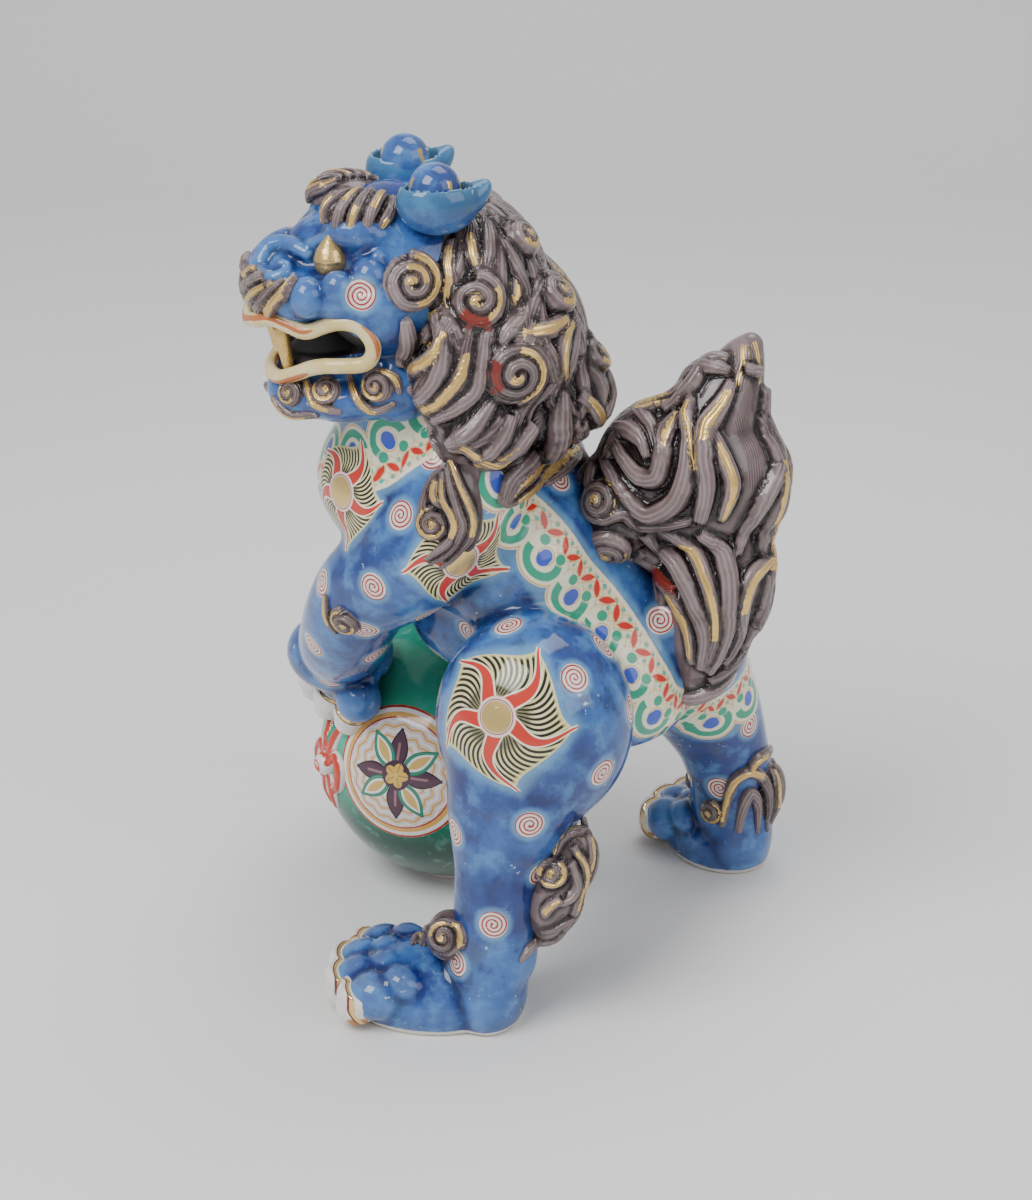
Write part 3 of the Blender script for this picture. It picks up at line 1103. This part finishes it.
# The ears are walnut-shell cups with a bulb sitting in each, glazed pale blue with gold drips.
for side, word in ((1, "left"), (-1, "right")):
    clay = bmesh.new()
    head_lump(clay, -3, side * 23.65, 280, (13.5, 10.5, 10.5))
    rope(clay, flow([head(-8, side * 24, 279), head(-15, side * 24.5, 282), head(-19.5, side * 25, 286)]),
         [8, 5, 1.2])
    pit = bmesh.new()
    head_lump(pit, -3, side * 23.2, 288.5, (11.6, 9.2, 12.5))
    cup = pressed(clay, 0.8, 3, pit)
    keep(cup, "shape", np.stack([relief(cup), corners(cup)[:, 2], corners(cup)[:, 0]], 1))
    material, tree, wear = coat("ear_glaze_" + word)
    stand, height, _ = guide(tree, "shape")
    base = placed(tree, cobalt_glaze, Stand=stand)
    pale = blended(tree, height.over(278.0, 16.0) * 0.55, base["Colour"], (0.045, 0.190, 0.300))
    rim = stand.over(0.45, 0.2)
    pale = blended(tree, rim * 0.85, pale, (0.74, 0.66, 0.46))
    wear(pale, base["Rough"], None, base["Height"])
    fired("ear_cup_" + word, cup, material, "cobalt", "ear_cup_" + word)
    clay = bmesh.new()
    head_lump(clay, -2.5, side * 21.5, 283.5, (8.4, 8.4, 8.4))
    bulb = pressed(clay, 0.8, 1)
    keep(bulb, "shape", np.stack([relief(bulb), corners(bulb)[:, 2], corners(bulb)[:, 0]], 1))
    material, tree, wear = coat("bulb_glaze_" + word)
    stand, height, beside = guide(tree, "shape")
    base = placed(tree, cobalt_glaze, Stand=stand)
    fine = clouded(tree, 200)
    drips = ((beside + fine * 3.0) * 1.15).sine().over(0.72, 0.12) * (height + fine * 4.0).under(290.0, 0.8)
    wear(blended(tree, drips, base["Colour"], (0.66, 0.45, 0.16)), base["Rough"], drips * 0.6, base["Height"])
    fired("ear_bulb_" + word, bulb, material, "cobalt", "ear_bulb_" + word)

# The mane is a cape over the back of the head and neck, combed from the crown down to a hem of pointed tips.
# It has six snail curls a side and flame locks before them. The right side is the left one's twin.
clay = bmesh.new()
for t, z, radii in ((-16, 248, (24, 37, 27)), (-22, 230, (31, 46, 28)), (-33, 211, (30, 40, 20))):
    head_lump(clay, t, 0, z, radii)
for side in (1, -1):
    head_lump(clay, -8, side * 34, 226, (14, 9, 22))
    head_lump(clay, -14, side * 36, 208, (18, 10, 16))
cape = pressed(clay, 1.6, 18)
mane = Locks(skin_of(cape, head_mesh, body), cape)
cape_skin = skin_of(cape)


COMB_LOCKS, CROWN_Z, HEM_Z = 44, 273, 186
a = math.radians(HEAD_TURN)
back_way, left_way = Vector((-math.sin(a), math.cos(a), 0)), Vector((math.cos(a), math.sin(a), 0))
for k in range(COMB_LOCKS):
    swing = math.radians(-140 + 280 * (k + 0.5) / COMB_LOCKS)
    run = []
    hem = HEM_Z + 14 * abs(math.sin(swing)) + 5 * (k % 3)
    for j in range(12):
        z = CROWN_Z + (hem - CROWN_Z) * j / 11
        bend = swing + 0.10 * math.sin(j * 0.9 + k * 1.3)
        way = back_way * math.cos(bend) + left_way * math.sin(bend)
        start = head(-12, 0, z) + way * 90
        place, _, _, _ = cape_skin.ray_cast(start, -way)
        if place is not None:
            run.append((*place, 0.0))
    if len(run) > 3:
        mane.lay(run, [2.6, 3.6, 3.8, 3.2, 0.5], gold=[(0.25, 0.42)] if k % 4 == 0 else (),
                 sink=0.15, steps=3)

CHEEK_LOCKS = [([(447, 302), (437, 321), (423, 336), (415, 351)], 2.6, True),
               ([(404, 318), (406, 334), (403, 351), (399, 369)], 2.6, False),
               ([(450, 328), (437, 356), (420, 380), (406, 391)], 2.8, True),
               ([(447, 342), (443, 367), (430, 393), (415, 404)], 3.0, False)]
SIDE_LOCKS = [([(455, 244), (452, 262), (453, 280), (452, 300), (456, 322)], 2.4, True),
              ([(470, 236), (472, 254), (476, 272)], 2.2, True),
              ([(486, 228), (487, 250), (486, 272)], 2.4, False),
              ([(499, 245), (511, 270), (520, 300), (516, 325)], 2.6, False),
              ([(466, 346), (459, 374), (445, 394), (424, 411)], 3.0, True),
              ([(484, 344), (481, 367), (471, 390), (450, 410), (436, 420)], 3.0, False),
              ([(490, 402), (476, 425), (462, 436), (447, 443)], 3.0, False),
              ([(457, 438), (470, 448), (485, 457), (499, 459), (511, 449)], 2.2, True),
              ([(509, 416), (500, 434), (486, 450), (474, 456)], 3.0, False),
              ([(557, 392), (558, 420), (545, 446), (523, 462), (508, 480), (500, 502)], 3.9, False),
              ([(571, 420), (567, 447), (547, 470), (523, 491), (503, 505)], 2.4, True),
              ([(535, 262), (531, 285), (527, 310), (524, 338)], 2.6, False),
              ([(566, 322), (557, 340), (556, 362), (560, 384)], 2.6, True),
              ([(598, 372), (602, 392), (598, 410), (592, 428)], 3.0, False),
              ([(576, 396), (590, 410), (600, 424), (606, 440)], 2.6, True),
              ([(560, 320), (545, 331), (528, 335), (511, 336)], 2.9, True),
              ([(522, 304), (519, 320), (508, 334), (500, 346)], 2.8, False)]
for run, r, gilded in CHEEK_LOCKS + SIDE_LOCKS:
    for lock in both(mane.skin, run):
        mane.lay([(*p, 1.6) for p in lock], [r * 0.75, r * 1.2, r * 1.15, 1.2],
                 gold=[(0.12, 0.85)] if gilded else ())

HEM_TIPS = [([(557, 395), (558, 420), (546, 446), (526, 466), (511, 484), (500, 505)],
             [3.0, 4.8, 5.0, 4.4, 2.2]),
            ([(500, 418), (488, 431), (470, 442), (449, 446)], [2.6, 3.6, 3.4, 1.8]),
            ([(531, 425), (515, 443), (496, 456), (473, 460)], [2.6, 3.8, 3.4, 1.8]),
            ([(578, 422), (573, 448), (560, 468), (542, 484)], [2.6, 3.8, 3.4, 1.8])]
for k, (run, radii) in enumerate(HEM_TIPS):
    for lock in both(mane.skin, run):
        mane.lay([(*p, 0.9) for p in lock], radii, gold=[(0.35, 0.95)] if k % 2 == 0 else ())

# Each snail curl has the point of the photograph that its eye shows at, where its winding starts, its radius,
# turns and hand, its rope's radius, its lift over the cape, and the stretches brushed with gold and iron red.
SNAILS = [((411, 283), (0, 0, 1), 11.0, 2.1, -1, 2.5, 0.0, [(0.02, 0.22), (0.45, 0.6)], ()),
          ((477, 304), (0, 0, 1), 10.2, 2.0, -1, 2.6, 2.6, [(0.08, 0.2)], [(0.22, 0.32)]),
          ((515, 373), (0.4, 0.3, -1), 12.4, 2.2, 1, 2.7, 0.8, [(0.02, 0.2)], [(0.3, 0.38)]),
          ((548, 299), (0, 0, 1), 9.2, 1.9, -1, 2.5, 3.4, [(0.1, 0.35)], ()),
          ((514, 243), (0, 0, 1), 8.4, 1.8, -1, 2.4, 3.4, [(0.2, 0.4)], ()),
          ((583, 358), (0, 0, 1), 9.0, 1.9, -1, 2.4, 3.4, [(0.1, 0.35)], ())]
for spot, start, radius, turns, hand, r, lift, gold, red in SNAILS:
    for (place,), way in zip(both(mane.skin, [spot]), (hand, -hand)):
        mane.snail(place, start, radius, turns, way, r, 2.4, gold, red, lift)
MANE_NODES = ("cheek_curl", "mane_curl_side", "mane_curl_low", "mane_curl_back", "mane_curl_nape",
              "mane_lock_side")
fired("mane", mane.combed(0.85, 2), hair, "mauve_brown", "mane",
      *(f"{lock}_{side}" for lock in MANE_NODES for side in ("left", "right")))

# The tail is a plume like a flame: a bulb of combed locks that closes to a point. A skirt of locks below it
# runs down to the rump, with two snail curls on each side and a leaf standing up behind.
clay = bmesh.new()
for centre, radii in (((8, 50, 182), (20, 30, 26)), ((8, 58, 150), (17, 18, 24)),
                      ((11, 25, 169), (15, 14, 17)), ((0, 66, 227), (4.7, 4.7, 4.7))):
    lump(clay, centre, radii)
rope(clay, flow([(9, 57, 142), (12, 55, 122), (14, 52, 101)], 4), [16, 12, 4], 4)
rope(clay, flow([(7, 54, 194), (4, 59, 210), (1, 64, 223), (0, 66, 228)], 4), [18, 13, 8, 4.6], 4)
lump(clay, (6, 71, 140), (8, 4, 13), lean=-12)
plume = pressed(clay, 1.4, 8)
tail = Locks(skin_of(plume), plume)
TAIL_MIDDLE = 8.0


def tail_twin(point):
    return Vector((2 * TAIL_MIDDLE - point[0], point[1], point[2]))


TAIL_LOCKS = [([(578, 505), (583, 478), (596, 446), (616, 415), (643, 392), (668, 387)], 3.4, (0.75, 1.0)),
              ([(592, 488), (602, 458), (618, 432), (638, 418), (653, 430), (660, 456)], 3.2, ()),
              ([(618, 440), (628, 462), (642, 476), (658, 476), (664, 452), (664, 432), (679, 413)], 3.0, ()),
              ([(606, 454), (616, 480), (632, 500), (652, 513), (676, 501), (686, 476), (688, 446),
                (688, 418)], 3.2, ()),
              ([(604, 452), (616, 437), (632, 431), (645, 441), (649, 458)], 3.4, ()),
              ([(665, 458), (669, 434), (681, 413)], 2.0, (0.0, 1.0)),
              ([(696, 476), (692, 448), (689, 416), (694, 398)], 2.6, (0.1, 0.9)),
              ([(700, 520), (706, 488), (702, 456), (707, 428), (722, 403), (732, 382)], 3.4, (0.5, 0.9)),
              ([(712, 430), (724, 460), (732, 486), (721, 520)], 2.6, (0.15, 0.95)),
              ([(668, 396), (690, 376), (712, 368), (730, 372)], 3.0, ()),
              ([(645, 532), (664, 546), (680, 566), (694, 597), (704, 634), (700, 668)], 3.2, ()),
              ([(662, 527), (684, 540), (700, 560), (712, 597), (714, 634), (704, 668)], 2.6, (0.2, 0.8)),
              ([(700, 532), (722, 552), (728, 590), (724, 632), (708, 672)], 3.2, ()),
              ([(640, 556), (652, 572), (668, 584), (680, 604), (690, 634), (692, 662)], 2.6, (0.5, 0.95)),
              ([(782, 562), (762, 562), (748, 578), (740, 604), (736, 634), (722, 662)], 3.0, (0.0, 0.6)),
              ([(778, 572), (776, 604), (760, 646), (732, 680), (700, 694), (672, 690)], 3.4, ()),
              ([(768, 600), (756, 632), (734, 660), (708, 680)], 3.0, ()),
              ([(625, 560), (636, 590), (650, 625), (668, 660), (680, 688)], 3.0, ()),
              ([(602, 520), (622, 512), (640, 520), (660, 522), (690, 520)], 3.0, ())]
for run, r, gilded in TAIL_LOCKS:
    for lock in both(tail.skin, run, tail_twin):
        tail.lay([(*p, 0.8) for p in lock], [r * 0.7, r * 1.15, r * 1.15, r * 0.5],
                 gold=[gilded] if gilded else ())
for run, gold in (([(743, 352), (742, 366), (738, 384)], [(0, 1)]),
                  ([(757, 350), (759, 362), (760, 376)], [(0, 1)]),
                  ([(742, 424), (752, 452), (756, 482)], ())):
    tail.brush([sighted(tail.skin, *p)[0] for p in run], 1.9, gold)
red_run = [sighted(tail.skin, *p)[0] for p in ((650, 568), (664, 574), (678, 588))]
tail.lay([(*p, 1.6) for p in red_run], [1.4, 1.8, 1.2], red=[(0, 1)])
EDGE_LOCKS = [[(8, 80, 186), (8, 82, 170), (8, 78, 152), (8, 74, 132)],
              [(8, 76, 205), (12, 80, 190), (14, 80, 172), (12, 77, 156)],
              [(8, 76, 205), (3, 80, 190), (1, 80, 172), (4, 77, 156)],
              [(4, 74, 214), (8, 80, 196), (20, 76, 180), (24, 70, 162)],
              [(2, 76, 212), (-2, 80, 196), (-6, 76, 180), (-10, 70, 162)],
              [(8, 24, 190), (8, 28, 204), (6, 42, 210), (4, 52, 216)],
              [(14, 22, 186), (14, 28, 200), (10, 40, 210)], [(1, 22, 186), (1, 28, 200), (3, 40, 210)]]
for run in EDGE_LOCKS:
    tail.lay([(*p, 0.6) for p in run], [2.2, 3.6, 3.4, 1.6], gold=[(0.3, 0.7)] if run[0][0] == 8 else ())
for spot, start, hand in (((600, 502), (0, 0.3, 1), -1), ((608, 548), (0, -0.3, -1), 1)):
    for (place,), way in zip(both(tail.skin, [spot], tail_twin), (hand, -hand)):
        tail.snail(place, start, 9.4, 2.3, way, 2.4, 2.6, [(0.0, 0.14)])
fired("tail", tail.combed(0.85, 2), hair, "mauve_brown", "tail_plume", "tail_curl_upper_left",
      "tail_curl_upper_right", "tail_curl_lower_left", "tail_curl_lower_right", "tail_leaf")

# Brow tufts fan down over each eye, moustache tufts sweep out from beside the nose, and the beard is a row of
# small curls along the chin. All are glazed as the mane is.
BROW_HAIRS = [[(392, 199), (386, 217), (376, 229)], [(385, 188), (373, 208), (363, 229)],
              [(374, 185), (358, 207), (349, 229)], [(363, 183), (347, 203), (337, 226)],
              [(352, 184), (337, 200), (327, 222)], [(345, 190), (332, 198), (320, 214)],
              [(340, 183), (327, 188), (317, 199)]]
TUFT_HAIRS = [[(298, 279), (284, 295), (268, 313), (254, 320)],
              [(286, 282), (271, 295), (258, 310), (248, 313)],
              [(274, 282), (261, 292), (249, 303), (244, 307)], [(264, 275), (251, 283), (243, 293)],
              [(257, 270), (249, 275), (244, 283)]]
CHIN_CURLS = [((291, 393), 5.4), ((327, 391), 5.8), ((377, 386), 6.6)]
CHIN_HAIRS = [[(274, 396), (292, 413), (319, 415)], [(305, 377), (316, 403), (342, 412)],
              [(349, 374), (357, 399), (375, 410), (396, 402)], [(378, 371), (394, 378), (400, 394)]]
face_skin = skin_of(head_mesh)


def brow_pad(side):
    """The soft ridge over an eye, which carries the brow's hairs."""
    clay = bmesh.new()
    head_lump(clay, 19, side * 12.5, 275, (12, 9, 6.5))
    return pressed(clay, 1.0, 2)


def on_side(side, skin, run):
    """A run of points seen in the photograph, laid on the skin and swung over to the side asked for."""
    seen = [sighted(skin, *p)[0] for p in run]
    return seen if side > 0 else [head_twin(p) for p in seen]


near_brow_skin = skin_of(brow_pad(1))
for side, word in ((1, "left"), (-1, "right")):
    pad = brow_pad(side)
    brow, tuft, beard = Locks(skin_of(pad), pad), Locks(face_skin), Locks(face_skin)
    for k, run in enumerate(BROW_HAIRS):
        brow.lay([(*p, 0.3) for p in on_side(side, near_brow_skin, run)], [1.5, 2.2, 1.7],
                 gold=[(0.05, 0.5)] if k % 2 else [(0.6, 1.0)])
    fired("brow_" + word, brow.combed(0.6, 1), hair, "mauve_brown", "brow_" + word)
    for k, run in enumerate(TUFT_HAIRS):
        tuft.lay([(*p, 0.5) for p in on_side(side, face_skin, run)], [1.6, 2.6, 2.2, 0.9],
                 gold=[(0.0, 0.6)] if k % 2 == 0 else ())
    fired("moustache_" + word, tuft.combed(0.6, 1), hair, "mauve_brown", "moustache_" + word)
    for eye, radius in CHIN_CURLS:
        (place,) = on_side(side, face_skin, [eye])
        beard.snail(place, (0, 0, 1), radius, 1.9, side, 1.6, 1.6, [(0.1, 0.35)])
    for run in CHIN_HAIRS:
        beard.lay([(*p, 0.2) for p in on_side(side, face_skin, run)], [1.3, 2.1, 1.0], gold=[(0.2, 0.7)])
    fired("beard_" + word, beard.combed(0.6, 1), hair, "mauve_brown", "beard_" + word)

# Flame locks stand at the elbows and hocks, and a snail curl lies over each wrist and ankle. A row has the
# curl's eye, start, radius and hand, the locks, their radius, and the pads of clay under them. Two numbers
# are a point of the photograph, and three are a place on the figure.
FLAMES = {
    "elbow_lock_left": ((433, 524), (0, 0, 1), 6.6, 1, [
        [(450, 457), (458, 482), (467, 503), (472, 521), (467, 539), (453, 557), (437, 570)],
        [(448, 467), (452, 490), (458, 509), (462, 525), (456, 541), (444, 555), (428, 565)],
        [(444, 474), (444, 498), (452, 513), (455, 526), (448, 541), (436, 552), (424, 560)],
        [(446, 468), (433, 481), (426, 498), (423, 513), (423, 526), (427, 538)],
        [(438, 480), (436, 496), (443, 508)]], 2.1,
        [((60, -19, 182), (6, 10, 17)), ((57, -16, 194), (4.5, 6, 13))]),
    "elbow_lock_right": ((-40, -23, 181), (0, 0, 1), 6.6, -1, [
        [(-28, -18, 206), (-30, -12, 196), (-36, -9, 184), (-38, -13, 172), (-39, -22, 163)],
        [(-28, -18, 206), (-34, -17, 195), (-39, -15, 182), (-39, -19, 170)],
        [(-29, -20, 205), (-34, -26, 196), (-38, -31, 186), (-39, -30, 174)]], 2.3,
        [((-34, -19, 184), (5, 10, 16)), ((-30, -17, 194), (4, 6, 12))]),
    "hock_lock_left": ((551, 873), (0, 0.4, 1), 6.2, -1, [
        [(556, 856), (566, 838), (582, 830), (600, 834)],
        [(600, 836), (602, 858), (601, 886), (594, 914), (578, 931), (559, 939)],
        [(574, 846), (585, 868), (588, 891), (580, 910), (562, 924), (541, 932)],
        [(572, 862), (576, 881), (570, 897), (555, 905)], [(560, 898), (548, 908), (544, 918)],
        [(567, 934), (544, 941), (527, 950), (519, 963)],
        [(66, 29, 77), (68, 31, 64), (71, 29, 50), (72, 25, 36)],
        [(64, 25, 74), (65, 27, 60), (67, 26, 48), (69, 22, 38)],
        [(71, 31, 76), (74, 30, 62), (77, 28, 48), (76, 24, 36)]], 2.1,
        [((74, 19, 51), (8, 8, 17), 0, -14), ((71, 24, 64), (6, 7, 13), 0, -18)]),
    "hock_lock_right": ((712, 811), (0, 0, 1), 6.0, -1, [
        [(722, 826), (727, 800), (734, 780), (748, 771), (762, 779), (769, 800), (767, 832)],
        [(738, 832), (743, 806), (750, 792), (757, 806), (757, 834)], [(748, 771), (757, 758), (770, 746)],
        [(-64, 74, 42), (-65, 75, 31), (-62, 74, 19)], [(-52, 76, 44), (-50, 77, 32), (-53, 75, 18)],
        [(-58, 77, 44), (-58, 78, 32), (-58, 76, 18)]], 2.6,
        [((-55, 69, 31), (10, 7, 14))]),
    "wrist_curl_left": ((346, 621), (0, 0, 1), 6.6, 1, [[(327, 594), (328, 616), (338, 634)]], 1.7, []),
    "wrist_curl_right": ((-62, -60, 134), (0, 0, 1), 6.8, -1,
                         [[(-63, -66, 142), (-61, -70, 134), (-58, -69, 126)]], 1.7, []),
    "ankle_curl_left": ((446, 937), (0, 0, -1), 7.8, 1, [[(428, 928), (420, 938), (412, 946)]], 2.0,
                        [((78, -17, 33), (9, 8, 9))]),
    "ankle_curl_right": ((-70, 40, 34), (0, 0, -1), 7.4, -1, [[(-60, 36, 34), (-52, 38, 29)]], 2.0, []),
}
for name, (eye, start, radius, hand, locks, r, pads) in FLAMES.items():
    skin, base = body_skin, ()
    if pads:
        clay = bmesh.new()
        for pad in pads:
            lump(clay, *pad)
        base = (pressed(clay, 1.2, 4),)
        skin = skin_of(body, *base)
    flame = Locks(skin, *base)
    eye = sighted(skin, *eye)[0] if len(eye) < 3 else eye
    flame.snail(eye, start, radius, 2.1, hand, 1.8, 2.0, [(0.02, 0.35)])
    for k, run in enumerate(locks):
        run = [(*sighted(skin, *p)[0], 0.3) if len(p) < 3 else p for p in run]
        flame.lay(run, [r * 0.6, r, r, r * 0.3], gold=[(0.05, 0.6)] if k % 2 == 0 else ())
    fired(name, flame.combed(0.65, 2), hair, "mauve_brown", name)

# Claws are blunt white drops at the front of each toe. A gold line and a dark red one are painted where they
# leave it, and amber has run into the lowest of them.
CLAW_R = 7.4
white_glaze, tree, wear = coat("white_claws")
stand, height, off = guide(tree, "shape")
fine, cloud = clouded(tree, 300), clouded(tree, 90)
white = blended(tree, cloud, (0.74, 0.71, 0.64), (0.84, 0.83, 0.80))
white = blended(tree, stand.under(-0.10, 0.25) * 0.7, white, (0.50, 0.34, 0.18))
white = blended(tree, cloud.over(0.56, 0.08) * height.under(7.0, 1.5), white, (0.42, 0.17, 0.03))
white = blended(tree, off.under(1.5, 0.15) * off.over(0.9, 0.1), white, (0.16, 0.02, 0.02))
gold = off.under(1.05, 0.12) * off.over(0.1, 0.2)
white = blended(tree, gold, white, (0.82, 0.60, 0.24))
wear(white, fine * 0.05 + 0.07, gold * 0.6, fine * 0.3)
claw_sets = {}
for word, centre, heading, length, _ in HIND_FEET:
    toes, roots, tips = (
        [on_sole(centre, heading, side * TOE_R * 1.25, -length * reach - ahead, z)
         for side, reach in HIND_TOES]
        for ahead, z in ((0, TOE_R * 1.45), (4.2, 15.0), (6.6, 8.6)))
    claw_sets["hind_claws_" + word] = (toes, roots, tips, 1.2)
for word, toes, roots, tips in (
        ("left", LEFT_TOES,
         [(54.2, 34, 4.6), (38.9, 35.5, 7.8), (23.5, 34.9, 12), (11, 35.4, 14.4)],
         [(51.3, 28.2, 1.2), (34.7, 27.8, 3.6), (19.5, 27.9, 7.2), (7.7, 28.9, 9.4)]),
        ("right", RIGHT_TOES,
         [(-69.7, 31.5, 8), (-54.5, 31, 10.6), (-39.7, 31, 12.4), (-25.6, 32.6, 13.6)],
         [(-68.6, 25.9, 4.4), (-52.9, 24.1, 5.6), (-38.2, 23.3, 7.4), (-24.2, 25, 8.4)])):
    claw_sets["fore_claws_" + word] = (*([on_ball(*p) for p in row] for row in (toes, roots, tips)), -0.6)
for name, (toes, roots, tips, more) in claw_sets.items():
    clay = bmesh.new()
    for root, tip in zip(roots, tips):
        rope(clay, [root, (root + tip) / 2, tip],
             [CLAW_R + more - 0.4, CLAW_R + more, CLAW_R + more - 1.0], 5)
        lump(clay, tip, (CLAW_R + more - 1.0,) * 3)
    claws = pressed(clay, 0.7, 2)
    stood(claws)
    points = corners(claws)
    _, off = nearest_of([(toe, None) for toe in toes], points)
    off = off - TOE_R - (1.3 if more > 0 else 0.0)
    keep(claws, "shape", np.stack([relief(claws, 5), points[:, 2], off], 1))
    fired(name, claws, white_glaze, "white", name)

# Four bows tie the brocade round the ball. Each is a ring knot with a white eye, two ribbons standing up from
# it, a loop hanging at either side and two tails, in iron red outlined in white.
BOW_RISE = 4.0                                   # degrees above the ball's waist
DEGREE = 180 / math.pi / BALL_R                  # degrees to each millimetre along the ball
bow_red, tree, wear = coat("red_bows")
_, across, _ = guide(tree, "lock")
gilt, iron, _ = guide(tree, "gilt")
fine = clouded(tree, 200)
red = blended(tree, fine, (0.50, 0.035, 0.025), (0.62, 0.075, 0.04))
red = blended(tree, across.size().over(0.72, 0.1), red, (0.80, 0.76, 0.72))
red = blended(tree, iron, red, (0.80, 0.74, 0.70))
red = blended(tree, gilt, red, (0.03, 0.30, 0.17))
wear(red, fine * 0.05 + 0.08, None, fine * 0.4)
clay = bmesh.new()
bmesh.ops.create_uvsphere(clay, u_segments=96, v_segments=48, radius=BALL_R - 0.6,
                          matrix=Matrix.Translation(BALL_MIDDLE))
globe = bpy.data.meshes.new("globe")
clay.to_mesh(globe)
clay.free()
globe_skin = skin_of(globe)
BOW_RIBBONS = [([(2.5, 1), (7, 5), (10.5, 1), (9.5, -5), (5.5, -9)], [2.2, 2.6, 3.0, 2.8, 1.6], 0.2),
               ([(1.5, 3), (3.0, 10), (6.5, 19.5)], [2.2, 2.8, 1.8], 0.1),
               ([(1.5, -3), (3.5, -12), (2, -18.5)], [2.2, 2.6, 1.6], 0.1)]
for quarter, azimuth in enumerate((40.0, 130.0, 220.0, 310.0)):
    def on_bow(across, up, out=0):
        return on_ball(azimuth + across * DEGREE, BOW_RISE + up * DEGREE, out)

    bow = Locks(globe_skin)
    lump(bow.clay, on_bow(0, 0, 1.0), (4.6,) * 3)
    bow.snail(on_bow(0, 0, 0.5), (0, 0, 1), 5.2, 1.2, 1, 1.7, 1.5, [], [(0.0, 1.0)])
    for side in (1, -1):
        for ribbon, radii, sink in BOW_RIBBONS:
            bow.lay([on_bow(side * across, up) for across, up in ribbon], radii, sink=sink)
    bow.lay([on_bow(0, 5), on_bow(0, 10), on_bow(0, 15)], [0.8, 1.6, 1.2], gold=[(0, 1)], sink=0.1)
    fired(f"ball_bow_{quarter + 1}", bow.combed(0.7, 2), bow_red, "red", f"ball_bow_{quarter + 1}")
